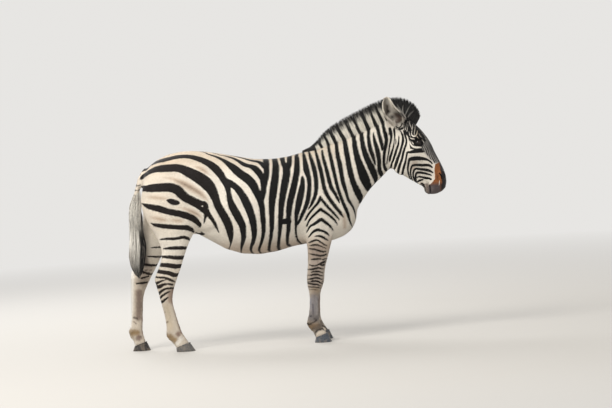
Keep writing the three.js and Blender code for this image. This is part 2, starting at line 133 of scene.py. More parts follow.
# ---- stripes: what follows one stroke is parted from the next by ";" ----
HAUNCH_STRIPES = """
-905 1255 15, -862 1281 19, -817 1296 21, -765 1304 20, -708 1315 19, -650 1318 18, -599 1311 18,
    -554 1296 20, -509 1276 22, -468 1251 24, -435 1219 24, -406 1180 20, -383 1138 18, -366 1099 14,
    -358 1054 11, -355 1015 13, -342 964 20, -317 913 22, -294 862 21, -281 830 18, -278 794 16,
    -279 748 14, -290 708 10, -300 680 7, -307 648 4;
-392 1150 14, -366 1128 17, -342 1117 17, -310 1092 16, -285 1060 18, -262 1022 20, -246 983 22,
    -230 945 22, -218 900 20, -210 868 19, -205 823 17, -205 785 16, -207 748 13, -220 708 11,
    -235 679 8, -239 650 7, -228 627 6, -206 618 4;
-950 1187 8, -936 1197 14, -915 1213 18, -874 1235 20, -829 1246 22, -791 1247 25, -740 1246 25,
    -701 1246 25, -663 1235 26, -624 1214 30, -586 1192 33, -547 1166 36, -515 1140 37, -490 1112 35,
    -470 1079 30, -454 1041 24, -445 1003 20, -432 964 21, -413 926 22, -394 887 23, -378 849 24,
    -369 810 22, -367 772 18, -368 733 10, -371 705 4;
-964 1112 8, -938 1118 14, -894 1120 20, -842 1119 23, -791 1120 24, -753 1118 25, -721 1108 26,
    -695 1092 27, -676 1067 27, -650 1041 25, -618 1022 24, -586 1003 25, -554 983 27, -531 958 24,
    -515 932 17, -503 919 10, -483 887 9, -464 849 8, -454 817 6, -445 791 3;
-520 935 9, -526 906 6, -533 880 4, -541 860 2; -545 990 14, -522 994 12, -515 965 10;
-948 1017 3, -926 1006 8, -894 994 13, -862 987 15, -829 977 17, -797 964 16, -765 954 15, -733 945 15,
    -701 937 16, -669 926 17, -637 913 17, -605 894 16, -586 874 14, -573 855 11, -570 836 5;
-897 884 3, -874 871 7, -842 865 9, -804 858 10, -765 852 10, -727 847 10, -688 842 11, -656 839 12,
    -637 829 11, -621 817 8, -613 801 4;
-845 770 3, -804 773 6, -765 770 7, -727 770 7, -688 777 8, -663 769 8, -647 756 6, -637 743 3;
-778 1033 3, -765 1028 8, -745 1021 14, -725 1015 14, -705 1010 8, -697 1008 4"""
FLANK_STRIPES = """
-490 1321 5, -465 1311 7, -440 1302 8, -420 1293 9, -400 1282 10, -380 1271 12, -360 1256 15,
    -340 1239 20, -320 1221 24, -300 1201 26, -280 1182 27, -260 1166 28, -238 1149 28, -208 1120 28,
    -188 1090 26, -174 1054 22, -160 1020 21, -148 990 19, -141 938 16, -140 881 14, -139 823 13,
    -143 765 11, -161 708 10, -175 679 9, -183 650 8, -174 630 6, -160 618 5;
-410 1308 4, -380 1301 6, -360 1296 8, -340 1289 9, -320 1282 10, -300 1271 10, -280 1259 12,
    -260 1244 15, -240 1233 16, -220 1225 15, -200 1221 16, -180 1211 20, -160 1190 21, -139 1163 20,
    -126 1135 17, -120 1100 17, -121 1065 15, -128 1031 14, -138 1000 12;
-97 1262 14, -96 1240 17, -95 1200 16, -96 1169 15, -102 1140 16, -112 1110 16, -119 1080 14;
-310 1292 7, -280 1283 9, -260 1277 11, -240 1271 12, -220 1264 13, -200 1258 14, -180 1253 14,
    -160 1250 14, -140 1242 12, -122 1225 10, -112 1205 8;
-38 1262 13, -34 1225 17, -31 1198 19, -40 1140 21, -51 1083 23, -63 1025 22, -73 967 19, -79 910 15,
    -81 852 13, -85 794 11, -96 736 11, -106 696 9, -115 661 10, -112 638 9, -93 624 5;
14 1270 12, 16 1245 12, 22 1220 13, 34 1198 18, 40 1180 22, 36 1140 21, 19 1083 22, 5 1025 19, -8 967 18,
    -16 910 15, -23 852 13, -30 794 11, -39 736 10, -47 696 11, -50 661 11, -42 638 9, -27 633 4;
64 1275 12, 63 1245 13, 60 1222 14, 50 1200 17, 42 1185 18;
112 1285 8, 113 1262 10, 113 1227 14, 109 1169 17, 97 1123 17, 84 1077 18, 68 1025 19, 49 967 18,
    37 910 16, 31 852 13, 28 794 12, 16 736 11, 12 696 10, 19 667 11, 42 659 5;
-8 838 14, 15 838 18, 35 836 12;
143 1126 6, 143 1105 10, 140 1077 13, 128 1025 19, 111 967 19, 93 910 15, 85 869 11, 80 835 8, 77 800 7,
    73 754 6, 77 719 6, 91 690 7, 110 670 7, 123 664 4"""
SHOULDER_STRIPES = """
160 1285 7, 164 1250 12, 168 1215 16, 172 1169 21, 180 1140 18, 187 1111 14, 185 1054 13, 176 996 15,
    162 950 14, 143 910 12, 121 869 11, 107 840 9, 92 815 7;
198 1290 6, 205 1255 10, 213 1227 13, 227 1169 15, 233 1111 14, 232 1054 14, 227 1019 12, 215 985 11,
    197 950 9, 180 925 6, 168 908 3;
243 1292 6, 247 1273 8, 256 1227 12, 267 1169 14, 276 1111 14, 282 1054 13, 292 1019 13, 307 985 13,
    326 950 12, 353 910 12, 378 875 10, 391 852 7, 400 837 3;
288 1292 6, 290 1250 9, 302 1198 12, 312 1140 13, 322 1083 13, 332 1042 13, 357 996 11, 371 961 8,
    380 938 4;
334 1318 9, 335 1290 9, 342 1250 11, 349 1198 12, 358 1140 12, 367 1083 12, 378 1025 12, 394 967 11,
    413 910 12, 430 869 12, 436 835 9, 446 794 6, 458 759 3;
253 990 5, 250 968 9, 233 944 8, 204 915 7, 181 892 7, 158 863 7, 143 838 5;
254 985 6, 270 956 9, 296 921 9, 319 892 8, 348 858 7, 371 823 4;
250 904 9, 227 886 8, 204 866 8, 181 849 7, 163 823 6, 150 795 5;
250 904 9, 273 886 9, 296 869 8, 325 840 8, 348 811 6, 357 788 3;
145 750 3, 157 770 5, 173 795 6, 196 803 8, 221 818 10, 250 837 11, 269 820 11, 295 798 9, 315 775 6,
    326 750 3"""
NECK_STRIPES = """
385 1350 12, 387 1299 12, 391 1247 14, 401 1190 15, 407 1132 15, 413 1074 15, 425 1017 15, 433 984 16,
    442 950 17, 464 910 17, 478 869 13, 483 835 7, 485 817 3;
444 1362 13, 447 1334 15, 449 1288 17, 456 1241 17, 461 1190 18, 468 1132 19, 480 1075 19, 493 1035 21,
    510 996 24, 526 955 24, 532 925 12;
508 1388 13, 508 1357 14, 511 1311 17, 515 1265 18, 525 1218 22, 537 1172 25, 548 1132 30, 560 1092 33,
    574 1051 31, 590 1015 24;
562 1422 13, 561 1397 14, 562 1357 15, 564 1311 15, 574 1265 18, 588 1218 20, 606 1172 21, 623 1132 23,
    635 1092 20, 641 1057 13, 643 1040 6;
611 1436 12, 611 1403 11, 606 1357 11, 609 1311 13, 617 1270 14, 629 1230 13, 637 1195 8, 640 1172 4;
643 1391 4, 643 1357 9, 649 1322 12, 659 1282 14, 666 1241 16, 668 1195 13, 666 1161 13, 669 1126 16,
    681 1097 14, 689 1086 8;
667 1456 12, 672 1426 14, 678 1391 12, 684 1357 13, 691 1322 13, 695 1293 10, 692 1270 5;
712 1478 10, 711 1449 11, 715 1409 12, 724 1368 13, 727 1334 12, 720 1299 10, 710 1265 10, 703 1224 10,
    699 1184 9, 704 1149 11, 715 1129 11, 724 1123 5;
747 1449 5, 750 1426 9, 757 1391 12, 760 1360 8, 757 1343 7, 754 1325 6, 746 1300 5, 740 1275 5,
    736 1250 5, 729 1225 4, 724 1200 4, 720 1175 3"""
CHEEK_STRIPES = """
781 1420 6, 781 1400 6, 783 1375 6, 783 1350 4, 777 1325 2, 773 1300 4, 765 1275 5, 757 1250 6,
    746 1225 7, 741 1205 7, 738 1190 4; 788 1340 2, 788 1322 4, 786 1305 3;
811 1358 2, 809 1345 4, 807 1325 4, 803 1300 6, 792 1275 7, 783 1250 7, 773 1225 7, 764 1200 7,
    752 1175 6, 745 1150 5, 742 1135 3;
828 1385 3, 831 1372 5, 837 1350 6, 837 1325 8, 830 1300 7, 821 1275 6, 812 1250 7, 802 1225 8,
    790 1200 9, 781 1175 9, 771 1150 8, 763 1125 7, 757 1105 4;
846 1390 5, 849 1372 6, 855 1350 6, 860 1325 5, 856 1300 6, 845 1275 6, 835 1250 7, 828 1225 7,
    821 1200 7, 811 1175 7, 799 1150 8, 792 1125 8, 786 1100 6, 780 1080 3;
866 1245 5, 858 1240 6, 854 1225 5, 848 1200 5, 842 1175 6, 832 1150 7, 824 1125 7, 818 1100 7,
    812 1075 5, 806 1055 3;
870 1063 5, 863 1082 5, 858 1103 5, 856 1124 5, 858 1146 6, 863 1167 6, 868 1186 7, 875 1196 10,
    899 1198 13, 922 1198 12, 946 1196 12, 970 1191 9, 989 1186 7, 1003 1177 5, 1017 1165 5, 1024 1155 4;
884 1053 4, 877 1072 5, 874 1091 5, 874 1110 5, 877 1129 5, 884 1146 6, 894 1153 7, 910 1154 7,
    934 1152 8, 958 1148 8, 982 1148 8, 1001 1146 8, 1012 1139 6, 1022 1129 5;
903 1037 4, 896 1053 5, 891 1072 5, 890 1091 5, 894 1110 6, 901 1124 6, 913 1129 6, 934 1124 7,
    958 1120 8, 982 1115 8, 998 1110 8, 1012 1103 6, 1024 1094 4;
918 1025 5, 908 1039 7, 903 1056 8, 906 1072 6, 909 1091 6, 918 1101 7, 934 1101 7, 958 1096 7,
    982 1089 6, 1001 1082 5, 1014 1075 3;
918 1068 4, 927 1072 6, 946 1069 6, 965 1063 7, 982 1058 8, 998 1053 8, 1008 1049 6;
922 1039 6, 932 1046 7, 946 1049 6, 955 1051 4; 940 1020 4, 948 1024 6, 960 1013 7, 953 999 7;
966 1000 4, 966 980 5, 968 962 6, 978 950 6;
864 1243 5, 885 1243 8, 905 1247 11, 925 1249 13, 945 1250 14, 962 1249 14;
796 1409 4, 812 1403 5, 830 1404 6, 846 1410 7; 820 1398 4, 822 1385 2"""
# The brow is dark, with thin pale lines on it.
BROW = "846 1470, 846 1385, 872 1345, 877 1300, 881 1262, 975 1262, 1100 1262, 1100 1470"
BROW_PALE = """
853 1440 1.0, 850 1415 1.6, 845 1400 2; 868 1440 1.3, 862 1415 1.5, 856 1395 2;
880 1445 1.8, 876 1420 1.5, 870 1400 1.5, 866 1385 2;
893 1452 2.6, 889 1436 3, 893 1420 2.6, 899 1404 2, 902 1393 1.5;
911 1442 2, 908 1420 1.8, 906 1405 2, 902 1388 1.5, 897 1372 1.8;
922 1450 2, 926 1430 2, 924 1410 1.6, 921 1390 1.6, 915 1372 2, 914 1358 2;
940 1430 1.3, 941 1410 1.3, 946 1399 3; 880 1384 1.5, 882 1364 2, 886 1352 2;
896 1369 2, 898 1357 4, 904 1351 5, 912 1347 4.5, 922 1350 4.5, 929 1358 3.6, 934 1370 2.6, 937 1384 2;
884 1341 2.5, 893 1335 4, 903 1331 4.4, 912 1329 3; 930 1347 2, 936 1339 3, 942 1331 3;
947 1362 2, 951 1351 3, 957 1343 4, 963 1339 3; 962 1323 1.6, 972 1312 2, 978 1298 2, 980 1285 2;
881 1318 3, 883 1304 4.5, 889 1291 6, 898 1281 6.4, 912 1275 7, 928 1272 7, 942 1271 5, 956 1270 4,
    966 1268 2.4; 894 1312 2, 899 1304 3, 905 1296 2.4;
872 1262 5, 884 1259 5.4, 897 1256 4.6, 908 1254 2.5"""
PALE_MARKS = """
-541 978 5; 975 1049 2, 990 1046 4, 1005 1040 4, 1018 1034 2; 1066 1037 1, 1065 1022 2, 1062 1006 1.2;
1012 1062 4, 1022 1060 7, 1030 1066 6; 1024 1078 4, 1033 1072 4"""
FORELEG_BARS = """
156 719 3, 168 730 4, 185 750 6, 202 761 7, 221 767 8, 250 758 7, 275 744 6, 295 724 4;
204 724 3, 227 724 6, 250 716 7, 269 702 6, 286 688 3;
156 682 4, 179 690 5, 207 699 5, 224 690 4, 241 676 5, 264 659 4, 275 655 3;
162 662 3, 185 665 5, 207 665 5, 224 659 4, 247 648 4, 269 634 3;
156 640 3, 185 637 5, 207 628 5, 236 617 5, 264 614 4;
150 608 2, 175 600 4, 190 598 5, 210 592 5, 230 588 5, 250 590 5, 268 594 4;
165 567 3, 190 568 5, 215 568 5, 230 566 3; 238 560 3, 264 566 3;
150 530 3, 170 522 4, 190 523 4, 205 527 4, 222 535 5, 240 541 6, 255 545 6, 270 551 5;
226 524 4, 242 522 6, 262 527 4;
130 499 1.5, 147 501 3.5, 162 500 5, 180 503 5, 208 507 5, 222 503 4, 236 497 2.5, 256 496 2;
156 480 2, 168 483 4, 185 485 5, 205 484 5, 215 481 3.5, 227 473 3.5, 250 468 2;
130 460 1.5, 142 462 2.5, 156 460 5, 170 464 5.5, 186 465 5.5, 200 463 5.5, 210 458 5, 220 452 3.5,
    252 450 2;
126 434 1.5, 138 435 3.5, 155 436 5.5, 172 441 6, 194 441 6, 208 436 5.5, 218 429 3.5, 248 428 2;
126 416 1.5, 148 417 3.5, 164 420 5.5, 190 420 6, 204 413 5.5, 214 405 5, 228 398 3.5, 242 395 2;
120 409 2, 135 406 4, 152 402 5.5, 172 398 5.5, 188 397 5.5, 200 391 5, 212 385 3.5;
226 413 2, 246 414 2;
122 385 1.5, 136 382 2.5, 152 381 3.5, 172 380 3.5, 192 376 3.5, 212 369 2.5, 228 366 1.5;
138 365 1.5, 160 363 2, 190 360 2"""
HIND_BARS = """
-825 705 3, -800 707 6, -750 707 9, -700 704 9, -662 697 7;
-845 652 5, -800 649 8, -750 641 11, -690 635 11;
-862 597 9, -825 595 11, -800 592 12, -760 582 14, -710 580 10;
-875 555 10, -840 547 10, -800 540 11, -775 525 13, -750 520 9, -725 532 4;
-900 520 4, -870 512 5, -840 512 5, -810 502 6, -785 490 6, -765 477 3;
-900 472 8, -880 480 7, -850 491 4, -825 495 2;
-890 450 10, -870 452 11, -850 462 8, -830 468 5, -805 467 5, -782 460 5;
-882 402 7, -865 417 7, -845 430 6, -825 437 5, -800 438 5, -775 435 3;
-877 372 7, -860 385 6, -840 400 6, -820 410 5, -800 415 2;
-872 342 9, -855 350 7, -835 365 6, -817 377 3"""
FAR_INNER_BARS = """
-1000 497 6, -950 505 6; -1050 470 6, -1000 467 8, -950 462 6; -985 525 3, -945 530 3;
-970 540 3, -925 545 3"""
SHADOW_STRIPES = """
-800 1188 -10, -731 1175 2, -690 1153 10, -658 1137 15, -615 1111 17, -572 1082 15, -529 1046 10,
    -495 1000 -8; -585 1250 -10, -545 1234 8, -510 1210 9, -475 1176 -10;
-700 982 -10, -650 962 5, -605 940 11, -572 918 8, -552 896 -8;
-920 1062 -10, -880 1058 4, -800 1047 4, -760 1040 -10;
-905 928 -10, -860 916 6, -810 903 5, -780 895 -10; -770 900 -10, -730 892 5, -695 888 4, -665 884 -10;
402 855 3, 408 810 4, 406 765 3"""
SHEATH = "-598 792 9, -584 783 17, -566 780 14, -548 784 8"
MIDLINE_BACK = "-960 0 7, -800 0 8, -400 0 9, 0 0 9, 150 0 8"  # x, y, half-width
MIDLINE_BELLY = "-540 0 4, -400 0 10, -100 0 15, 200 0 12, 330 0 4"

# ---- what tints the coat, its own colours and some painted shade: side (-1 right, 1 left, 0 both), radius, strength, colour, path ----
TINTS = [
    (0, 26, 0.75, "8d7a58", "943 1356, 940 1385"),  # brow
    (0, 15, 0.7, "6a5549", "905 1318, 930 1320, 960 1330"),
    (0, 20, 0.5, "b08f78", "905 1165, 890 1135"),  # cheek
    # Painted shade: the cheek's pale coat greyed, as the cheek lay in shade.
    (0, 60, 0.42, "8f857c", "900 1170, 960 1110"),
    (0, 42, 0.65, "86817c", "862 1452, 900 1440, 930 1425"),
    (0, 9, 0.6, "d9b49a", "1046 1120, 1040 1060"),
    (0, 17, 0.9, "5d4c45", "982 1010, 980 955"),  # chin
    (0, 12, 0.7, "8c7264", "960 1010, 945 1022"),
    # Painted shade: the forearm's pale coat greyed, as this is the leg's shaded side.
    (0, 60, 0.75, "94847a", "205 610, 190 500, 182 400"),  # forearm
    (0, 34, 0.75, "9a8467", "178 345, 172 328"),  # under the knee
    # The greys of the front cannon, fetlock and pastern are partly painted shade, as the lower foreleg stood
    # in shadow; the dark rings, the ochre and the pale patch over the hoof are the coat's own.
    (0, 48, 0.9, "858184", "168 296, 160 240, 152 190"),  # front cannon
    (0, 6, 0.8, "57535a", "154 262, 152 178"),
    (0, 6, 0.6, "918f98", "142 300, 140 235"),
    (0, 7, 0.6, "7d6558", "199 290, 195 190"),
    (0, 36, 0.85, "736d6a", "138 170, 166 164"),  # front fetlock
    (0, 7, 0.85, "302e34", "135 183"),
    (0, 7, 0.7, "403d3b", "158 166, 172 158"),
    (0, 30, 0.9, "80674b", "120 118, 150 114, 178 112"),
    (0, 24, 0.8, "665d55", "164 90, 188 104, 204 112"),
    (0, 6, 0.95, "1f1a19", "106 141, 122 134, 138 137"),
    (0, 5, 0.9, "2c2425", "144 141, 158 143, 170 152"),
    (0, 8, 0.95, "231d1b", "140 34, 151 50, 160 68, 172 80, 190 88, 212 90, 228 80, 240 62, 248 42"),
    (0, 11, 0.95, "d8ccbc", "170 58, 184 70, 204 74, 222 66"),
    (0, 7, 0.8, "bdab9e", "154 30, 166 44"),
    (-1, 9, 0.75, "86695a", "-782 430, -786 340, -772 260, -757 190, -745 130"),  # right hind cannon
    (-1, 22, 0.7, "9a8070", "-800 405, -802 352"),
    (-1, 24, 0.55, "c3b399", "-828 310, -815 170"),
    (-1, 6, 0.7, "6b5a48", "-830 212, -838 205"),
    (-1, 7, 0.4, "6b5a48", "-846 275"),
    (-1, 6, 0.5, "6b5a48", "-842 128"),
    (-1, 21, 0.85, "967b54", "-828 116, -792 82"),
    (-1, 19, 0.8, "7f6356", "-766 122"),
    (-1, 15, 0.95, "ebe5db", "-748 92, -776 60"),
    (1, 15, 0.95, "e9e5de", "-1064 560, -1078 420, -1088 300, -1100 230, -1108 170"),  # left hind cannon
    # Painted shade: darker greys on the left hind leg's cannon and hock, as that leg stood in shade behind
    # the right one.
    (1, 27, 0.9, "78665c", "-1028 405, -1034 300, -1044 235"),
    (1, 40, 0.6, "96867a", "-960 560, -1000 470"),
    (1, 8, 0.7, "80655a", "-1015 230, -1022 120"),
    (1, 8, 0.8, "3e332e", "-1074 232, -1055 226"),
    (1, 6, 0.6, "5a4c44", "-1078 204, -1062 190"),
    (1, 24, 0.9, "8f744d", "-1092 130, -1060 128"),
    (1, 22, 0.85, "765e56", "-1050 92"),
    (1, 15, 0.95, "e6e2da", "-1086 48"),
    # Painted shade: the left thigh greyed down its inner side, which lay in shade.
    (1, 24, 0.9, "6f665f", "-985 900, -975 700, -970 600"),  # inner side of the left thigh
]
# ---- and the same inside and round the ears ----
EAR_TINTS = [
    (0, 11, 0.85, "8b8177", "731 1500, 728 1560, 734 1600"),
    (0, 14, 0.7, "aaa69f", "745 1600, 752 1575"),
    (0, 12, 0.95, "4a403b", "746 1558, 743 1512"),
    (0, 9, 1.0, "0d0b0a", "754 1524"),
    (0, 10, 1.0, "f6f0e4", "772 1585, 781 1548, 778 1508, 757 1499"),
    (0, 24, 0.95, "5d4c44", "812 1500, 832 1470, 812 1445"),
    (0, 9, 0.95, "1c1a17", "776 1482"),
    (0, 11, 0.9, "4d4b4a", "815 1520, 848 1484"),
    (0, 9, 0.9, "a8a199", "808 1434"),
    (0, 7, 0.95, "e8e0d4", "785 1446, 783 1424"),
]
EAR_RIM = "f0e9dc"
EAR_CRESCENT = "793 1423, 803 1415, 815 1413, 828 1420, 839 1438"

# ---------------------------------------------------------------- small tools


def read(rows, name, width=1, kind=np.int32):
    """What each row of a mesh's data says under a name: one value, or width of them."""
    out = np.empty(len(rows) * width, kind)
    rows.foreach_get(name, out)
    return out.reshape(-1, width) if width > 1 else out


def write(rows, name, values, kind=np.float32):
    rows.foreach_set(name, np.ascontiguousarray(values, kind).ravel())


def coordinates(mesh):
    return read(mesh.vertices, "co", 3, np.float32).astype(float)


def normals(mesh):
    return read(mesh.vertex_normals, "vector", 3, np.float32).astype(float)


def put_coordinates(mesh, co):
    write(mesh.vertices, "co", co)
    mesh.update()


def ramp(value, low, high):
    """0 below low, 1 above high, and smooth between."""
    t = np.clip((np.asarray(value, float) - low) / (high - low), 0, 1)
    return t * t * (3 - 2 * t)


def unit(vectors):
    return vectors / np.linalg.norm(vectors, axis=-1, keepdims=True).clip(1e-9)


def colour(text):
    """A colour written as six hexadecimal digits, in linear light."""
    value = np.array([int(text[i : i + 2], 16) / 255 for i in (0, 2, 4)])
    return np.where(value < 0.04045, value / 12.92, ((value + 0.055) / 1.055) ** 2.4)


def mixed(low, high, weight):
    return low + (high - low) * np.asarray(weight)[..., None]


def strokes(text):
    """Each stroke of a drawing, as rows of numbers."""
    rows = [[[float(v) for v in point.split()] for point in line.split(",")] for line in text.split(";")]
    return [np.array(row) for row in rows]


def rounded(points):
    """The path with its corners cut once; its ends stay."""
    if len(points) < 3:
        return points
    inner = np.stack([points[:-1] * 0.75 + points[1:] * 0.25, points[:-1] * 0.25 + points[1:] * 0.75], 1)
    return np.vstack([points[:1], inner.reshape(-1, points.shape[1])[1:-1], points[-1:]])


def to_path(places, path, widths=None):
    """How far each place is from a path, less the path's half width there."""
    if widths is None:
        widths = np.zeros(len(path))
    if len(path) == 1:
        return np.linalg.norm(places - path[0], axis=1) - widths[0]
    best = np.full(len(places), np.inf)
    for a, b, wide_a, wide_b in zip(path[:-1], path[1:], widths[:-1], widths[1:]):
        step = b - a
        t = np.clip((places - a) @ step / max(step @ step, 1e-12), 0, 1)
        away = np.linalg.norm(places - a - t[:, None] * step, axis=1)
        best = np.minimum(best, away - (wide_a + t * (wide_b - wide_a)))
    return best


def near_path(places, path, reach):
    return np.flatnonzero(((places > path.min(0) - reach) & (places < path.max(0) + reach)).all(1))


def neighbour_mean(values, pairs, count):
    """Each vertex's mean of its neighbours' values."""
    out = np.empty_like(values)
    for k in range(values.shape[1]):
        column = values[:, k]
        total = np.bincount(pairs[:, 0], column[pairs[:, 1]], len(values))
        total += np.bincount(pairs[:, 1], column[pairs[:, 0]], len(values))
        out[:, k] = total / count
    return out


def diffuse(values, pairs, speed, rounds):
    count = np.bincount(pairs.ravel(), minlength=len(values)).clip(1)
    for _ in range(rounds):
        values = values + speed[:, None] * (neighbour_mean(values, pairs, count) - values)
    return values


def smooth(mesh, speed, rounds):
    """Smooths a surface, each vertex at its own speed, then gives back what the smoothing shrank."""
    co, pairs = coordinates(mesh), read(mesh.edges, "vertices", 2)
    once = diffuse(co, pairs, speed, rounds)
    put_coordinates(mesh, once + diffuse(co - once, pairs, speed, rounds))


def new_object(name, mesh):
    obj = bpy.data.objects.new(name, mesh)
    bpy.context.scene.collection.objects.link(obj)
    return obj


def mesh_of(name, places, faces):
    mesh = bpy.data.meshes.new(name)
    mesh.from_pydata([tuple(p) for p in places], [], [tuple(f) for f in faces])
    mesh.update()
    return mesh


@contextmanager
def editing(mesh):
    """A mesh's BMesh, which goes back into the mesh at the end."""
    bm = bmesh.new()
    bm.from_mesh(mesh)
    yield bm
    bm.to_mesh(mesh)
    bm.free()


def outward(mesh):
    """The mesh with all its faces turned outwards."""
    with editing(mesh) as bm:
        bmesh.ops.recalc_face_normals(bm, faces=bm.faces)
    return mesh


def applied(obj):
    """The object's mesh with its modifiers applied."""
    graph = bpy.context.evaluated_depsgraph_get()
    mesh = bpy.data.meshes.new_from_object(obj.evaluated_get(graph))
    obj.modifiers.clear()
    obj.data = mesh
    return mesh


def remeshed(obj, voxel):
    remesh = obj.modifiers.new("one_surface", "REMESH")
    remesh.mode = "VOXEL"
    remesh.voxel_size = voxel
    return applied(obj)


def shade_smooth(mesh):
    mesh.polygons.foreach_set("use_smooth", np.ones(len(mesh.polygons), bool))


def tube_faces(first, sides):
    """The faces between rings of so many corners, where first says which corner each ring starts at."""
    k = np.arange(sides)
    after = (k + 1) % sides
    return np.stack([first + k, first + after, first + after + sides, first + k + sides], -1).reshape(-1, 4)


# ---------------------------------------------------------------- the skin's base shape


def joined_flesh():
    """One closed mesh out of the CAD's flesh, with the eye pockets filled and the ears left off."""
    mesh = bpy.data.meshes.new("skin")
    with editing(mesh) as bm:
        for node in FLESH + ["eye_left", "eye_right"]:
            if node not in EARS:
                bm.from_mesh(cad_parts[node].data)
    skin = new_object("skin", mesh)
    remeshed(skin, VOXEL)
    return skin


def smoothing_speed(co):
    x, z = co[:, 0], co[:, 2]
    legs = 1 - ramp(z, 0.56, 0.74)
    head = ramp(x, 0.70, 0.80)
    tail = (1 - ramp(x, -0.985, -0.945)) * (z < 1.2)
    return BROAD_SMOOTH + (FINE_SMOOTH - BROAD_SMOOTH) * np.maximum.reduce([legs, head, tail])


def refine(mesh, wanted):
    """Halves the edges of the faces whose middle is wanted."""
    with editing(mesh) as bm:
        chosen = wanted(np.array([f.calc_center_median() for f in bm.faces]))
        cut = {edge for face, take in zip(bm.faces, chosen) if take for edge in face.edges}
        bmesh.ops.subdivide_edges(bm, edges=list(cut), cuts=1, use_grid_fill=True)


def on_head_or_leg(p):
    return (p[:, 0] > 0.725) & (p[:, 2] < 1.5) | (p[:, 2] < 0.56)


def on_face_details(p):
    eye = np.linalg.norm(p * [1, 0, 1] - EYE_CENTRE * [1, 0, 1], axis=1) < 0.042
    muzzle = (p[:, 0] > 0.975) & (p[:, 2] < 1.105)
    return eye & (np.abs(p[:, 1]) > 0.05) | muzzle


def base_skin():
    skin = joined_flesh()
    mesh = skin.data
    smooth(mesh, smoothing_speed(coordinates(mesh)), SMOOTH_ROUNDS)
    put_coordinates(mesh, coordinates(mesh) - COAT_DEPTH * normals(mesh))
    for wanted in (on_head_or_leg, on_face_details):
        refine(mesh, wanted)
        smooth(mesh, wanted(coordinates(mesh)) * 0.5, 3)
    return skin


# ---------------------------------------------------------------- drawing on the skin

EDGE_NORMAL = 0.62  # where the skin's normal has less Y than this, a stroke's end has reached the outline
EDGE_PUSH = 0.04
EDGE_RUN = 0.07  # how far along X the stroke keeps its own way while it crosses to the mid plane
EDGE_STEPS = (0, 0.35, 0.75)


class Surface:
    """The skin as it stands, to draw on."""

    def __init__(self, mesh):
        self.co = coordinates(mesh)
        self.normal = normals(mesh)
        self.flat = self.co[:, [0, 2]] / MM  # as the side view shows it
        faces = [tuple(p.vertices) for p in mesh.polygons]
        self.tree = BVHTree.FromPolygons([tuple(c) for c in self.co], faces)

    def from_side(self, points, side, start=2.0):
        """Points "x z" of the side view, put on that side of the skin."""
        out = []
        last_y = side * 0.03
        for x, z in np.asarray(points)[:, :2] * MM:
            hit = self.tree.ray_cast(Vector((x, side * start, z)), Vector((0, -side, 0)))[0]
            if hit is None or hit.y * side < 0:
                hit = self.tree.find_nearest(Vector((x, last_y, z)))[0]
            last_y = hit.y
            out.append(hit)
        return np.array(out)

    def from_above(self, points, way):
        """Points "x y", put on the skin where a line along Z meets it, from above (1) or below (-1)."""
        hits = []
        for x, y in np.asarray(points)[:, :2] * MM:
            hits.append(self.tree.ray_cast(Vector((x, y, 0.9 + 1.2 * way)), Vector((0, 0, -way)))[0])
        return np.array(hits)

    def over_the_edge(self, path, widths):
        """The path carried on to the mid plane wherever an end of it reaches the outline."""
        for _ in range(2):
            place, normal = self.tree.find_nearest(Vector(path[0]))[:2]
            if abs(normal.y) < EDGE_NORMAL and 0.012 < abs(place.y) < 0.16:
                push = Vector((normal.x, 0, normal.z)).normalized() * EDGE_PUSH
                onward = unit(path[0] - path[min(2, len(path) - 1)])[0] * EDGE_RUN
                more = [Vector((place.x + onward * (1 - k), place.y * k, place.z)) for k in EDGE_STEPS]
                path = np.vstack([[self.tree.find_nearest(spot + push)[0] for spot in more], path])
                widths = np.concatenate([widths[0] * np.array([0.8, 0.9, 0.95]), widths])
            path, widths = path[::-1], widths[::-1]
        return path, widths


def on_left(points):
    """A stroke of the right side as the left side carries it: moved with the legs, and not quite alike."""
    out = np.array(points, float)
    x, z = out[:, 0].copy(), out[:, 1].copy()
    heights, shifts = zip(*HIND_SHIFT)
    haunch = (1 - ramp(x, -520, -380)) * np.where(z > 800, ramp(x, -960, -820), 1)
    out[:, 0] += np.interp(z, heights, shifts) * haunch + FORE_SHIFT * (1 - ramp(z, 700, 900)) * (x > 0)
    wander = ramp(z, 650, 800) * (1 - ramp(x, 700, 800))
    out[:, 0] += wander * (9 * np.sin(z / 71 + 1) + 5 * np.sin(z / 23 + x / 90))
    out[:, 1] += wander * 8 * np.sin(x / 83 + 2)
    return out


def drawn_on(points, side):
    return points if side == RIGHT else on_left(points)


# ---------------------------------------------------------------- sculpting


def sculpt(mesh, forms):
    surface = Surface(mesh)
    co, normal = surface.co, surface.normal
    rise = np.zeros(len(co))
    for height, radius, text in forms:
        for side in (RIGHT, LEFT):
            path = surface.from_side(drawn_on(rounded(strokes(text)[0]), side), side)
            near = near_path(co, path, radius * 2.6 * MM)
            away = to_path(co[near], path) / MM
            rise[near] += height * np.exp(-((away / radius) ** 2))
    put_coordinates(mesh, co + normal * rise[:, None] * MM)


def sculpt_rim(mesh, height, distance, width, text):
    surface = Surface(mesh)
    rise = np.zeros(len(surface.co))
    for side in (RIGHT, LEFT):
        path = surface.from_side(strokes(text)[0], side)
        away = to_path(surface.co, path) / MM
        rise += height * np.exp(-(((away - distance) / width) ** 2))
    put_coordinates(mesh, surface.co + surface.normal * rise[:, None] * MM)


EYE_HALF_LENGTH = 22.0
EYE_OPENING = (12.0, 9.0)  # how high the lids stand above and below the line between the corners
EYE_SLOPE = 0.34  # how steeply that line falls towards the muzzle
LID = 2.4  # thickness
BALL_IN = 6.0  # how far the skin lies under the ball's surface inside the opening
SOCKET = (24.0, 36.0)  # the lids leave the ball between these distances from its middle


def eye_axes(side):
    """Along the opening, up across it, and out of the head."""
    out = unit(np.array([0.16, side * 1.0, 0.06]))
    along = np.array([1.0, 0.0, -EYE_SLOPE])
    along = unit(along - out * (along @ out))
    up = np.cross(along, out) * side
    return np.stack([along, up if up[2] > 0 else -up, out])


def eye_centre(side):
    return EYE_CENTRE * [1, -side, 1]


def eye_local(places, side):
    return (places - eye_centre(side)) @ eye_axes(side).T / MM


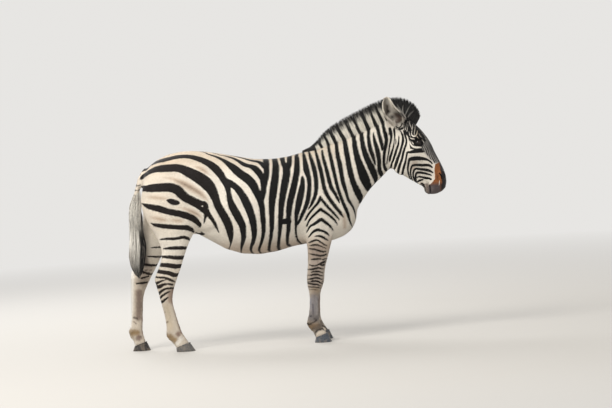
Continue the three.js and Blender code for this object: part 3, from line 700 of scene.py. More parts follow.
def outside_opening(along, up):
    """How far a point is outside the almond between the lids, below 0 inside it."""
    inside = np.clip(1 - (along / EYE_HALF_LENGTH) ** 2, 0, 1) ** 0.75
    half = np.where(up > 0, EYE_OPENING[0], EYE_OPENING[1]) * inside
    beyond = np.abs(along) - EYE_HALF_LENGTH
    return np.where(beyond > 0, np.hypot(beyond, up), (np.abs(up) - half) * 0.9)


def sculpt_eyes(mesh):
    co = coordinates(mesh)
    radius = EYE_RADIUS / MM
    for side in (RIGHT, LEFT):
        local = eye_local(co, side)
        along, up, out = local.T
        away = np.hypot(along, up)
        near = np.flatnonzero((away < SOCKET[1]) & (out > -8))
        along, up, out, away = along[near], up[near], out[near], away[near]
        outside = outside_opening(along, up)
        ball = np.sqrt(np.clip(radius**2 - away**2, 30, None))
        lid = np.sqrt(np.clip((radius + LID) ** 2 - away**2, 30, None))
        lid += 1.1 * np.exp(-(((outside - 2.6) / 2) ** 2))
        lid -= 1.6 * np.exp(-(((outside - 8.5) / 1.8) ** 2)) * ramp(up, -2, 6)
        lid -= 0.9 * np.exp(-(((outside - 7.5) / 1.6) ** 2)) * ramp(-up, 0, 6)
        inner = ball - BALL_IN
        target = inner + (lid - inner) * ramp(outside, -1.3, 1.2)
        rise = (target - out) * (1 - ramp(away, *SOCKET))
        co[near] += rise[:, None] * eye_axes(side)[2] * MM
    put_coordinates(mesh, co)


# ---------------------------------------------------------------- ears

# x, y, z of the middle, half width, half angle of the cup, from root to tip, for the right ear
EAR = [
    (812, -60, 1414, 28, 2.7),
    (808, -66, 1440, 42, 2.6),
    (794, -74, 1468, 55, 2.3),
    (770, -83, 1500, 54, 2.0),
    (752, -90, 1530, 46, 1.8),
    (742, -95, 1560, 42, 1.65),
    (739, -98, 1586, 36, 1.5),
    (738, -99, 1604, 29, 1.4),
    (738, -98, 1616, 18, 1.3),
]
EAR_FACING = np.array([0.34, -0.93, 0.12])
EAR_THICKNESS = 4.5
EAR_RINGS = 40
EAR_ARCS = 26


def as_right(co):
    """The places with those of the left side mirrored to the right."""
    return co * [1, 0, 1] - np.abs(co) * [0, 1, 0]


def ear_frame():
    table = np.array(EAR, float)
    along = unit(table[-1, :3] - table[0, :3])
    facing = unit(EAR_FACING - along * (EAR_FACING @ along))
    return table, along, facing


def ear_mesh(side):
    table, along, facing = ear_frame()
    across = np.cross(along, facing)
    steps = np.linspace(0, len(table) - 1, EAR_RINGS)
    stations = np.array([np.interp(steps, range(len(table)), table[:, k]) for k in range(5)]).T
    places = []
    for i, (x, y, z, half, opening) in enumerate(stations):
        radius = half / math.sin(min(opening, math.pi / 2))
        turns = opening * np.linspace(-1, 1, EAR_ARCS + 1)
        thick = EAR_THICKNESS * (1 - 0.5 * i / EAR_RINGS)
        for r, angles in ((radius, turns), (radius - thick, turns[::-1])):
            ring = np.outer(np.sin(angles), across) * r - np.outer(np.cos(angles), facing) * r
            places.append(np.array([x, y, z]) + 0.35 * radius * facing + ring)
    places = np.concatenate(places) * MM
    if side == LEFT:
        places[:, 1] *= -1
    count = 2 * (EAR_ARCS + 1)
    faces = tube_faces(np.arange(EAR_RINGS - 1)[:, None] * count, count).tolist()
    for start in (0, (EAR_RINGS - 1) * count):
        for k in range(EAR_ARCS):
            a, b = start + k, start + count - 1 - k
            quad = (a, b, b - 1, a + 1)
            faces.append(quad if start == 0 else quad[::-1])
    return outward(mesh_of("ear", places, faces))


def add_ears(skin):
    """Grows the ears out of the head, and rounds off where they meet it."""
    mesh = skin.data
    co = coordinates(mesh)
    x, y, z = co.T
    stub = 0.5 * (np.abs(x - 0.81) < 0.08) * ramp(np.abs(y), 0.04, 0.055) * ramp(z, 1.435, 1.45)
    put_coordinates(mesh, diffuse(co, read(mesh.edges, "vertices", 2), stub, 24))
    for side in (RIGHT, LEFT):
        ear = new_object("ear", ear_mesh(side))
        union = skin.modifiers.new("ear", "BOOLEAN")
        union.operation = "UNION"
        union.solver = "MANIFOLD"
        union.object = ear
        applied(skin)
        bpy.data.objects.remove(ear)
    root = np.array(EAR[0][:3]) * MM + [0, 0, 0.004]
    away = np.linalg.norm(as_right(coordinates(skin.data)) - root, axis=1)
    smooth(skin.data, 0.5 * (1 - ramp(away, 0.034, 0.05)), 6)


# ---------------------------------------------------------------- markings

FAR_AWAY = 40.0  # mm, what the stripe field says where no stripe is near
EAR_START = 0.12  # how far up the ear, from 0 to 1, it stops being coloured as the head is
EAR_LENGTH = 200  # mm
DOCK_RING = 33  # mm, from one dark ring of the dock to the next
LID_REACH = 34  # mm, how far from the eye's centre its lids go
EAR_BACK_BARS = ((0.86, 24), (0.42, 19))  # how far up the ear, from 0 to 1, and half the width in mm

PALE = colour("e9e2d6")
INK = colour("0b0a0a")
BACK_TAN = colour("b99a70")
BELLY_TAN = colour("b39a84")
LEG_PALE = colour("c9bcab")
BROWN = colour("5c4334")
HAZE = colour("b08c68")
RUST = colour("8a532b")
MUZZLE = colour("191517")
MUZZLE_RUST = colour("5a3016")
LIP_GREY = colour("4b4242")
CHIN_GREY = colour("6d6462")
NOSE_GREY = colour("4d4d52")
NOSE_PALE = colour("aca8a4")
HIND_INK = colour("1d1410")
LEG_INK = colour("231b17")
LID_INK = colour("15100f")
EAR_INK = colour("15110f")
CUP_PALE = colour("ccc4b9")
EAR_BACK_PALE = colour("ddd5c8")

# Each group of stripes, with what is added to its half widths at the heights WIDER_AT
WIDER_AT = (700, 850, 1290, 1420)
WIDER = ((HAUNCH_STRIPES, (2.5, 6.5, 6.0, 6.0)), (FLANK_STRIPES, (1.0, 4.2, 5.0, 5.0)),
         (SHOULDER_STRIPES, (1.0, 1.2, 1.8, 1.8)), (NECK_STRIPES, (1.2, 1.2, 1.2, 0.2)),
         (CHEEK_STRIPES, (2.2, 2.2, 2.2, 2.2)))

# Where the dark muzzle and the dark bridge of the nose begin, as z x pairs of the side view
MUZZLE_EDGE = [(930, 988), (965, 988), (990, 988), (1008, 992), (1020, 1008), (1035, 1022), (1050, 1036),
               (1070, 1038), (1110, 1037), (1130, 1040), (1150, 1046), (1158, 1070)]
NOSE_EDGE = [(1150, 1046), (1165, 1034), (1180, 1020), (1200, 1003), (1213, 996), (1235, 979), (1255, 963),
             (1275, 961), (1290, 972), (1310, 988), (1330, 1000)]
PROFILE = [(1400, 960), (1367, 985), (1327, 1012), (1283, 1034), (1236, 1051), (1190, 1072), (1148, 1091)]
MOUTH = "1004 940, 1001 990, 998 1010, 986 1030"


def edge_at(pairs, z):
    pairs = sorted(pairs)
    return np.interp(z, [p[0] for p in pairs], [p[1] for p in pairs])


def draw(field, surface, path, widths):
    near = near_path(surface.co, path, (widths.max() + FAR_AWAY) * MM)
    away = to_path(surface.co[near] / MM, path / MM, widths)
    field[near] = np.minimum(field[near], away)


def draw_on_body(field, surface, text, wider=(0, 0, 0, 0), wrap=True):
    for stroke in strokes(text):
        for side in (RIGHT, LEFT):
            points = rounded(drawn_on(stroke, side))
            path, widths = surface.from_side(points, side), points[:, 2]
            widths = widths + np.interp(points[:, 1], WIDER_AT, wider) * (widths / 10).clip(0, 1)
            if wrap:
                path, widths = surface.over_the_edge(path, widths)
            draw(field, surface, path, widths)


def draw_through_leg(field, surface, text, top, wider):
    """Bars that go round a leg, drawn through it, and fading towards its inner side."""
    for stroke in strokes(text):
        for side in (RIGHT, LEFT):
            points = rounded(drawn_on(stroke, side))
            path = points[:, :2]
            near = near_path(surface.flat, path, points[:, 2].max() + FAR_AWAY)
            near = near[(surface.co[near, 1] * side > 0.02) & (surface.co[near, 2] < top)]
            inner = 7.5 * (1 - ramp(surface.normal[near, 1] * side, -0.75, 0.1))
            if side == LEFT:
                inner += 16 * ramp(-surface.normal[near, 0], 0.0, 0.5) * (surface.co[near, 0] < -0.9)
            widths = points[:, 2] + np.interp(points[:, 1], (380, 520), wider) * (points[:, 2] / 8).clip(0, 1)
            field[near] = np.minimum(field[near], to_path(surface.flat[near], path, widths) + inner)


def inside(places, outline):
    """Below 0 inside a closed outline of x z points, and about the distance to it outside."""
    away = to_path(places, np.vstack([outline, outline[:1]]))
    within = np.zeros(len(places), bool)
    for (ax, az), (bx, bz) in zip(outline, np.roll(outline, -1, 0)):
        crosses = (az > places[:, 1]) != (bz > places[:, 1])
        at = ax + (places[:, 1] - az) / (bz - az if bz != az else 1) * (bx - ax)
        within ^= crosses & (places[:, 0] < at)
    return np.where(within, -away, away)


def front_lines(surface):
    """The dark front of the face, with thin pale lines down it: below 0 where it is dark."""
    x, y, z = surface.co.T / MM
    behind = to_path(surface.flat, np.array([(px, pz) for pz, px in PROFILE], float))
    across = np.abs(y) + behind
    dark = np.maximum((edge_at(NOSE_EDGE, z) - x) * 0.7, 1158 - z)
    forehead = np.maximum(across - 86 + 26 * ramp(z, 1305, 1375) - 0.12 * (z - 1330), 1300 - z)
    dark = np.minimum(dark, forehead)
    spacing = 15 + 0.012 * (z - 1150).clip(0, 250) + 0.03 * (z - 1320).clip(0, 200)
    wave = across / spacing + 0.1 * np.sin(z / 23 + across / 11)
    width = 1.5 + 0.4 * np.sin(z / 31 + wave * 2) + 0.5 * ramp(z, 1300, 1400) + 1.3 * ramp(across, 22, 55)
    line = np.abs(wave % 1 - 0.5) * spacing - width
    return np.where(dark < 0, np.maximum(dark, -line), dark), dark


def ear_position(co, normal):
    """How far up an ear each place is, from 0 to 1, how far round it, and whether it faces the cup."""
    table, along, facing = ear_frame()
    across = np.cross(along, facing)
    length = np.linalg.norm(table[-1, :3] - table[0, :3])
    mirrored = as_right(co) / MM
    local = mirrored - table[0, :3]
    up = local @ along / length
    middle = np.array([np.interp(up * (len(table) - 1), range(len(table)), table[:, k]) for k in range(4)]).T
    turn = ((mirrored - middle[:, :3]) @ across) / middle[:, 3]
    towards = (normal * [1, 0, 1] - [0, 1, 0] * normal * np.sign(co[:, 1:2])) @ facing
    close = np.linalg.norm(mirrored - middle[:, :3], axis=1) < 75
    return np.where(close & (mirrored[:, 2] > 1405) & (mirrored[:, 1] < -20), up, -1), turn, towards


def ripples(places):
    """A smooth irregular wave over x z places, from -1 to 1."""
    u, v = places.T
    return np.sin(u + 1.7 * np.sin(0.7 * v)) * np.sin(1.3 * v + 1.9 * np.sin(0.6 * u))


def tinted(base, tints, surface, chosen):
    """Lays each tint over base, where chosen is true and on the tint's own side."""
    for side, radius, strength, tone, text in tints:
        path = strokes(text)[0]
        near = near_path(surface.flat, path, 2.2 * radius)
        near = near[chosen[near] & (surface.co[near, 1] * side >= 0)]
        flat = surface.flat[near]
        away = to_path(flat, path) / radius + 0.12 * ripples(flat / 9)
        base[near] = mixed(base[near], colour(tone), strength * np.exp(-(away.clip(0) ** 3)))


def mark_ears(field, base, ink, surface):
    up, turn, towards = ear_position(surface.co, surface.normal)
    ear = up > EAR_START
    cup = ear & (towards > 0.05)
    back = ear & ~cup
    field[ear] = FAR_AWAY
    base[cup] = CUP_PALE
    tinted(base, EAR_TINTS, surface, cup)
    rim = ramp(np.abs(turn), 0.74, 0.86) * cup * ramp(surface.co[:, 2], 1.50, 1.53)
    base[:] = mixed(base, colour(EAR_RIM), rim)
    crescent = to_path(surface.flat, strokes(EAR_CRESCENT)[0]) - 4.5
    field[:] = np.where((up > -0.2) & (surface.co[:, 2] < 1.445), np.minimum(field, crescent), field)
    base[back] = EAR_BACK_PALE
    back_bars = [np.abs(up - at) * EAR_LENGTH - half for at, half in EAR_BACK_BARS]
    field[back] = np.minimum(*back_bars)[back]
    ink[ear] = EAR_INK


def muzzle_ink(x, y, z):
    """The dark coat of the muzzle: rust behind, near black in front and greyer round the mouth."""
    lip, front = 1 - ramp(z, 1000, 1036), ramp(x, 1062, 1082)
    bridge = ramp(x + 0.06 * (z - 1060) + 1.5 * np.sin(z / 5.3) + np.sin(z / 2.1 + y), 1076, 1085)
    tone = mixed(np.tile(RUST, (len(x), 1)), MUZZLE, bridge)
    tone = mixed(tone, MUZZLE_RUST, 0.8 * np.exp(-((np.hypot(x - 1054, (z - 1060) / 2.4) / 8) ** 2)))
    tone = mixed(tone, LIP_GREY, lip * (1 - front))
    tone = mixed(tone, CHIN_GREY, 0.6 * np.exp(-((np.hypot(x - 1016, (z - 985) / 2) / 11) ** 2)))
    return mixed(tone, MUZZLE, front * lip)


def pale_coat(surface, shadow, dark_nose):
    """The colour between the stripes: warm on the back, duller on the belly and the legs, with painted shade
    greying the cheek and parts of the legs.
    """
    x, y, z = surface.co.T / MM
    upward = ramp(z, 1130, 1300) * ramp(surface.normal[:, 2], -0.2, 0.9)
    on_lines = mixed(np.tile(NOSE_GREY, (len(x), 1)), NOSE_PALE, ramp(dark_nose, -48, -14))
    base = np.tile(PALE, (len(x), 1))
    for tone, weight in (
            (BACK_TAN, 0.4 * (1 - ramp(x, 300, 650)) * upward),
            (BACK_TAN, 0.2 * (1 - ramp(x, -820, -500)) * ramp(z, 700, 900)),
            (BELLY_TAN, 0.75 * (1 - ramp(z, 640, 760)) * (np.abs(x + 100) < 420) * (z > 560)),
            (LEG_PALE, 0.8 * (1 - ramp(z, 480, 760))),
            (HAZE, 0.5 * ramp(-shadow, -20, 6)),
            (BROWN, ramp(-shadow, -4, 22) * (0.75 + 0.25 * ripples(surface.flat / 6))),
            (on_lines, 0.85 * ramp(12 - dark_nose, 0, 14))):
        base = mixed(base, tone, weight)
    tinted(base, TINTS, surface, np.ones(len(x), bool))
    return base


def dark_coat(surface, on_muzzle):
    """The colour of the stripes: browner on the hindquarters and the legs, and another on the muzzle."""
    x, y, z = surface.co.T / MM
    ink = np.tile(INK, (len(x), 1))
    ink = mixed(ink, HIND_INK, 0.6 * (1 - ramp(x, -560, -200)))
    ink = mixed(ink, LEG_INK, 0.8 * (1 - ramp(z, 560, 760)) * (x < 400))
    return mixed(ink, muzzle_ink(x, y, z), on_muzzle)


def mark_openings(field, ink, bare, surface):
    """Dark lids; painted shade inside the nostrils and along the line of the mouth."""
    co = surface.co
    for side in (RIGHT, LEFT):
        along, up, out = eye_local(co, side).T
        lids = (np.hypot(along, up) < LID_REACH) & (np.abs(out) < LID_REACH) & (co[:, 1] * side > 0)
        rim = lids * (1 - ramp(outside_opening(along, up), 2.6, 4.5))
        field[rim > 0.5] = -8
        ink[:] = mixed(ink, LID_INK, rim)
        nostril = surface.from_side(strokes(NOSTRIL_RIM[3])[0], side)
        depth = np.exp(-((to_path(co, nostril) / MM / 9) ** 2))
        bare[:] = np.maximum(np.maximum(bare, rim), ramp(depth, 0.2, 0.6))
        # Painted shade inside the nostril, darker the deeper in.
        ink[:] = mixed(ink, MUZZLE * 0.4, ramp(depth, 0.45, 0.9))
    # Painted shade along the crease between the lips.
    ink[:] = mixed(ink, MUZZLE * 0.5, 1 - ramp(to_path(surface.flat, strokes(MOUTH)[0]), 2, 4))


def body_stripes(field, surface):
    """All the stripes of the coat but those of the face's front."""
    x, y, z = surface.co.T / MM
    for text, wider in WIDER:
        draw_on_body(field, surface, text, wider)
    draw_on_body(field, surface, SHEATH, wrap=False)
    for text, way in ((MIDLINE_BACK, 1), (MIDLINE_BELLY, -1)):
        stroke = rounded(strokes(text)[0])
        draw(field, surface, surface.from_above(stroke, way), stroke[:, 2])
    draw_through_leg(field, surface, FORELEG_BARS, 0.78, (1.0, 2.5))
    draw_through_leg(field, surface, HIND_BARS, 0.73, (2.5, 3.5))
    for stroke in strokes(FAR_INNER_BARS):
        draw(field, surface, surface.from_side(stroke, LEFT, start=0.0), stroke[:, 2])
    dock = (x < -955) & (z < 1160) & (np.abs(y) < 60)
    ring = np.abs((z[dock] / DOCK_RING) % 1 - 0.5) * DOCK_RING
    field[dock] = ring - 5 + 2 * np.sin(y[dock] / 4)


def markings(surface):
    """The pale coat, the dark coat and the stripe field, which is below 0 where the dark coat shows."""
    x, y, z = surface.co.T / MM
    field, lines, pale, shadow = np.full((4, len(x)), FAR_AWAY)
    body_stripes(field, surface)
    draw_on_body(lines, surface, BROW_PALE, wrap=False)
    draw_on_body(pale, surface, PALE_MARKS, wrap=False)
    draw_on_body(shadow, surface, SHADOW_STRIPES, wrap=False)
    brow = np.maximum(inside(surface.flat, strokes(BROW)[0]), -FAR_AWAY)
    field = np.where(brow < 0, np.maximum(np.maximum(brow, -8), -lines), np.minimum(field, brow))
    striped, dark_nose = front_lines(surface)
    on_nose = dark_nose < 12
    field[on_nose] = np.minimum(striped, np.where(dark_nose < 0, FAR_AWAY, field))[on_nose]
    muzzle = (edge_at(MUZZLE_EDGE, z) - x) + np.maximum(z - 1156, 0) * 3
    muzzle = np.where((x > 980) & (z < 1165), muzzle, FAR_AWAY)
    field = np.maximum(np.minimum(field, muzzle), -pale)

    base = pale_coat(surface, shadow, dark_nose)
    on_muzzle = (muzzle < 3) & (z < 1165)
    ink = dark_coat(surface, on_muzzle)
    mark_ears(field, base, ink, surface)
    blotch = 0.06 * np.sin(x / 37 + 1.3 * np.sin(z / 53)) * np.sin(z / 41 + y / 60)
    base = base * (1 + blotch)[:, None]
    bare = np.where(on_muzzle, ramp(x, 1060, 1085) + (1 - ramp(z, 985, 1010)), 0).clip(0, 1)
    mark_openings(field, ink, bare, surface)
    return base, ink, field, bare


def store(mesh, name, values):
    """Values for each vertex, or colours, as an attribute of the mesh."""
    if values.ndim == 2:
        rgba = np.concatenate([values, np.ones((len(values), 1))], 1)
        write(mesh.attributes.new(name, "FLOAT_COLOR", "POINT").data, "color", rgba)
    else:
        write(mesh.attributes.new(name, "FLOAT", "POINT").data, "value", values)


# ---------------------------------------------------------------- materials


class Nodes:
    """A material's nodes, made and joined by name."""

    def __init__(self, name):
        self.material = bpy.data.materials.new(name)
        self.material.use_nodes = True
        self.tree = self.material.node_tree
        self.shader = self.tree.nodes["Principled BSDF"]

    def add(self, kind, inputs=None, **settings):
        node = self.tree.nodes.new("ShaderNode" + kind)
        for key, value in settings.items():
            setattr(node, key, value)
        for key, value in (inputs or {}).items():
            self.feed(node.inputs[key], value)
        return node

    def feed(self, socket, value):
        if isinstance(value, bpy.types.NodeSocket):
            self.tree.links.new(value, socket)
        elif value is not None:
            socket.default_value = value

    def attribute(self, name, output="Fac"):
        return self.add("Attribute", attribute_name=name).outputs[output]

    def math(self, operation, a, b=None):
        return self.add("Math", {0: a, 1: b}, operation=operation).outputs[0]

    def blend(self, low, high, weight, kind="MIX"):
        node = self.add("Mix", {"Factor": weight}, data_type="RGBA", blend_type=kind)
        self.feed(node.inputs[6], low)
        self.feed(node.inputs[7], high)
        return node.outputs[2]

    def span(self, value, low, high, to_low=0.0, to_high=1.0):
        inputs = {"Value": value, "From Min": low, "From Max": high, "To Min": to_low, "To Max": to_high}
        return self.add("MapRange", inputs).outputs["Result"]

    def noise(self, scale, detail=2.0, stretch=(1, 1, 1), turn=(0, 0, 0)):
        place = self.add("TexCoord").outputs["Object"]
        inputs = {"Vector": place, "Scale": stretch, "Rotation": turn}
        mapped = self.add("Mapping", inputs, vector_type="TEXTURE")
        inputs = {"Vector": mapped.outputs[0], "Scale": scale, "Detail": detail}
        return self.add("TexNoise", inputs).outputs["Fac"]

    def bump(self, height, strength, distance):
        node = self.add("Bump", {"Height": height, "Strength": strength, "Distance": distance})
        self.feed(self.shader.inputs["Normal"], node.outputs[0])

    def finish(self, colour_out, roughness, specular=0.3, sheen=0.0):
        self.feed(self.shader.inputs["Base Color"], colour_out)
        self.feed(self.shader.inputs["Roughness"], roughness)
        self.shader.inputs["Specular IOR Level"].default_value = specular
        self.shader.inputs["Sheen Weight"].default_value = sheen
        self.shader.inputs["Sheen Roughness"].default_value = 0.5
        return self.material


HAIR_LONG = 9.0  # how much longer than wide the strands of the bump are
COAT_DUST = (0.42, 0.33, 0.24, 1)


def coat_material():
    n = Nodes("coat")
    along_body = n.noise(420, 3, (HAIR_LONG, 1, 1), (0, math.radians(20), 0))
    along_leg = n.noise(520, 3, (1, 1, HAIR_LONG), (0, math.radians(8), 0))
    along_face = n.noise(620, 3, (1, 1, HAIR_LONG * 0.6), (0, math.radians(-22), 0))
    strands = n.add("Mix", {"Factor": n.attribute("leg_lie"), 2: along_body, 3: along_leg}).outputs[0]
    strands = n.add("Mix", {"Factor": n.attribute("face_lie"), 2: strands, 3: along_face}).outputs[0]
    coarse = n.noise(90, 3)
    field = n.attribute("stripe")
    calm = n.span(n.attribute("face_lie"), 0.0, 1.0, 5.0, 2.4)
    ragged = n.math("ADD", field, n.math("MULTIPLY", n.math("SUBTRACT", strands, 0.5), calm))
    ragged = n.math("ADD", ragged, n.math("MULTIPLY", n.math("SUBTRACT", coarse, 0.5), 3.0))
    dark = n.span(ragged, -0.8, 0.8, 1.0, 0.0)
    pale = n.blend(n.attribute("base", "Color"), COAT_DUST, n.span(coarse, 0.5, 0.8, 0, 0.28))
    tone = n.blend(pale, n.attribute("ink", "Color"), dark)
    tone = n.blend(tone, (0.0, 0.0, 0.0, 1), n.span(strands, 0.25, 0.55, 0.3, 0.0))
    bare = n.attribute("bare")
    skin_grain = n.add("TexVoronoi", {"Scale": 420.0}).outputs["Distance"]
    height = n.add("Mix", {"Factor": bare, 2: strands, 3: skin_grain}).outputs[0]
    n.bump(height, 0.5, 0.0011)
    roughness = n.add("Mix", {"Factor": bare, 2: n.span(strands, 0.3, 0.7, 0.78, 0.6), 3: 0.42}).outputs[0]
    return n.finish(tone, roughness, 0.25, 0.06)


def hair_material(name, rough, stretch=(1, 1, 14), shade=(0.3, 0.35), bump=(0.35, 0.0007), gloss=(0.3, 0.1)):
    """Hair whose colour is in its mesh, with fine strands, stretched along Z, drawn over it."""
    n = Nodes(name)
    strands = n.noise(900, 2, stretch)
    tone = n.blend(n.attribute("hair", "Color"), (0, 0, 0, 1), n.span(strands, shade[0], 0.6, shade[1], 0.0))
    n.bump(strands, *bump)
    return n.finish(tone, n.span(strands, 0.3, 0.7, rough + 0.15, rough), *gloss)


def lies(mesh, surface):
    """How much of the leg's and of the face's lie of coat each vertex has."""
    x, z = surface.co[:, 0], surface.co[:, 2]
    store(mesh, "leg_lie", (1 - ramp(z, 0.55, 0.8)) * (x < 0.5))
    store(mesh, "face_lie", ramp(x, 0.70, 0.80))


# ---------------------------------------------------------------- hair


def fast_mesh(name, places, faces):
    """A mesh of many faces that all have the same number of corners."""
    mesh = bpy.data.meshes.new(name)
    mesh.vertices.add(len(places))
    mesh.loops.add(faces.size)
    mesh.polygons.add(len(faces))
    write(mesh.vertices, "co", places)
    write(mesh.loops, "vertex_index", faces, np.int32)
    write(mesh.polygons, "loop_start", np.arange(len(faces)) * faces.shape[1], np.int32)
    mesh.update(calc_edges=True)
    return mesh


def put_uv(mesh, uv):
    """A map named OFBake, from one place on it for each vertex."""
    layer = mesh.uv_layers.new(name="OFBake")
    write(layer.data, "uv", uv[read(mesh.loops, "vertex_index")])


PATCH = 0.003  # how wide each tuft's own patch of the map is
ROUND = np.array([0.0, 2.1, 4.2])  # the corners of a lock's section, as angles


def locks(name, paths, widths, colours, root_uv, material):
    """Tapering locks of hair: paths are locks x stations x 3, widths and colours are given likewise."""
    count, stations = paths.shape[:2]
    along = unit(np.gradient(paths, axis=1))
    aside = unit(np.cross(along, unit(RNG.normal(size=(count, 1, 3)))))
    other = np.cross(along, aside)
    ring = aside[:, :, None] * np.cos(ROUND)[:, None] + other[:, :, None] * np.sin(ROUND)[:, None]
    places = paths[:, :, None] + ring * widths[:, :, None, None] / 2
    corners = len(ROUND)
    first = (np.arange(count)[:, None, None] * stations + np.arange(stations - 1)[None, :, None]) * corners
    mesh = fast_mesh(name, places.reshape(-1, 3), tube_faces(first, corners))
    store(mesh, "hair", np.repeat(colours[:, :, None], corners, 2).reshape(-1, 3))
    across, upward = np.meshgrid(np.arange(corners) / corners, np.arange(stations) / (stations - 1))
    uv = root_uv[:, None, None, :] + PATCH * np.stack([across, upward], -1)
    put_uv(mesh, uv.reshape(-1, 2))
    shade_smooth(mesh)
    mesh.materials.append(material)
    obj = new_object(name, mesh)
    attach(obj, "root")
    return obj


def unwrap(obj):
    """Gives the skin its own map, named OFBake."""
    obj.data.uv_layers.new(name="OFBake")
    bpy.context.view_layer.objects.active = obj
    obj.select_set(True)
    bpy.ops.object.mode_set(mode="EDIT")
    bpy.ops.mesh.select_all(action="SELECT")
    bpy.ops.uv.smart_project(angle_limit=math.radians(66), island_margin=0.004)
    bpy.ops.object.mode_set(mode="OBJECT")
    obj.select_set(False)


def read_uv(mesh):
    return read(mesh.uv_layers["OFBake"].data, "uv", 2, np.float32)


def uv_finder(mesh, surface):
    """A function that says where on the skin's map the skin nearest to each place is."""
    uv, starts = read_uv(mesh), read(mesh.polygons, "loop_start")

    def uv_at(places):
        nearest = [surface.tree.find_nearest(Vector(p))[2] for p in places]
        return uv[starts[nearest]]

    return uv_at


class Scatter:
    """Random places on the skin, with all that the skin says there."""

    def __init__(self, mesh, surface):
        mesh.calc_loop_triangles()
        self.corners = read(mesh.loop_triangles, "vertices", 3)
        self.loops = read(mesh.loop_triangles, "loops", 3)
        self.uv = read_uv(mesh)
        a, b, c = (surface.co[self.corners[:, k]] for k in range(3))
        self.area = np.linalg.norm(np.cross(b - a, c - a), axis=1) / 2
        self.middle = (a + b + c) / 3

    def pick(self, count, weight):
        share = np.cumsum(self.area * weight)
        face = np.searchsorted(share, RNG.random(count) * share[-1]).clip(0, len(share) - 1)
        u, v = RNG.random((2, count))
        over = u + v > 1
        u, v = np.where(over, 1 - u, u), np.where(over, 1 - v, v)
        return face, np.stack([1 - u - v, u, v], 1)

    def at(self, face, spread, values):
        picked = values[self.corners[face]]
        return (picked * spread.reshape(spread.shape + (1,) * (picked.ndim - 2))).sum(1)

    def uv_at(self, face, spread):
        return (self.uv[self.loops[face]] * spread[:, :, None]).sum(1)


def lie_of_coat(co, normal):
    """Which way the hair lies, along the skin."""
    x, y, z = co.T
    way = np.tile([-0.93, 0.0, -0.36], (len(co), 1))
    for along_x, along_z, weight in (
            (-0.55, -0.85, 1 - ramp(x, -0.75, -0.45)),
            (-0.75, -0.66, ramp(x, 0.10, 0.35)),
            (0.2, -1.0, ramp(x, 0.70, 0.80)),
            (0.42, -0.9, ramp(x, 0.86, 0.96)),
            (-0.12, -1.0, (1 - ramp(z, 0.62, 0.80)) * (x < 0.5)),
            (-0.3, 1.0, ramp(z, 1.41, 1.45) * (np.abs(y) > 0.035))):
        way = mixed(way, np.array([along_x, 0.0, along_z]), weight)
    way = way + RNG.normal(size=way.shape) * 0.13
    return unit(way - normal * (way * normal).sum(1, keepdims=True))


def tuft_sizes(co, normal, bare):
    """Length and width of the tufts, in mm, and how high their tips stand, as a share of the length."""
    x, y, z = co.T
    length = np.full(len(co), 8.5)
    length -= 2.5 * (1 - ramp(z, 0.35, 0.75))
    length -= 4.2 * ramp(x, 0.74, 0.84) * (z < 1.44)
    length -= 1.0 * ramp(x, 0.98, 1.05)
    length += 4.0 * ramp(-normal[:, 2], 0.5, 0.95) * (z > 0.5) * (x < 0.7)
    length += 5.0 * (1 - ramp(z, 0.045, 0.08))
    cup = (z > 1.44) & (np.abs(y) > 0.045) & (normal[:, 1] * np.sign(y) > 0.1)
    fetlock = (z > 0.09) & (z < 0.15) & (normal[:, 0] < -0.3)
    length = np.where(cup, 11.0 - 6 * ramp(z, 1.55, 1.6), np.where(fetlock, 11.0, length))
    length *= RNG.uniform(0.7, 1.25, len(co)) * (1 - 0.6 * bare)
    width = 0.75 + 0.1 * length
    lift = 0.07 + 0.09 * RNG.random(len(co)) + 0.22 * cup + 0.15 * fetlock
    return length * MM, width * MM, lift


TUFTS = 88000  # in each piece of the coat


def tufts(name, scatter, surface, fields, weight):
    """Flat tufts over part of the skin, each a pointed blade of two triangles."""
    face, spread = scatter.pick(TUFTS, weight)
    base, ink, stripe, bare = (scatter.at(face, spread, f) for f in fields)
    root = scatter.at(face, spread, surface.co)
    normal = unit(scatter.at(face, spread, surface.normal))
    way = lie_of_coat(root, normal)
    aside = np.cross(normal, way)
    length, width, lift = (v[:, None] for v in tuft_sizes(root, normal, bare))
    rise = normal * length * lift
    half = aside * width / 2
    middle = root + way * length * 0.42 + rise * 0.8
    bend = aside * length * RNG.normal(size=(TUFTS, 1)) * 0.1
    tip = root + way * length + rise * 0.7 + bend
    places = np.stack([root - normal * 0.0006, middle - half, middle + half, tip], 1)
    first = np.arange(TUFTS)[:, None] * 4
    mesh = fast_mesh(name, places.reshape(-1, 3), np.concatenate([first + [0, 2, 1], first + [1, 2, 3]]))
    dark = (stripe + RNG.normal(size=TUFTS) * 0.8 < 0)[:, None]
    tone = np.where(dark, ink, base) * RNG.uniform(0.84, 1.08, (TUFTS, 1))
    # Each tuft is a little darker at its root, painted shade where it meets the skin, and a little lighter at
    # its tip, a painted highlight.
    shade = np.array([0.85, 1.0, 1.0, 1.05])[None, :, None]
    store(mesh, "hair", (tone[:, None] * shade).reshape(-1, 3))
    corners = np.array([(0.5, 0), (0, 0.5), (1, 0.5), (0.5, 1)]) - 0.5
    uv = scatter.uv_at(face, spread)[:, None] + PATCH * corners[None]
    put_uv(mesh, uv.reshape(-1, 2))
    mesh.materials.append(hair_material(name, 0.65, (1, 1, 1), (0.35, 0.25), (0.2, 0.0004), (0.2, 0.05)))
    obj = new_object(name, mesh)
    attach(obj, "root")


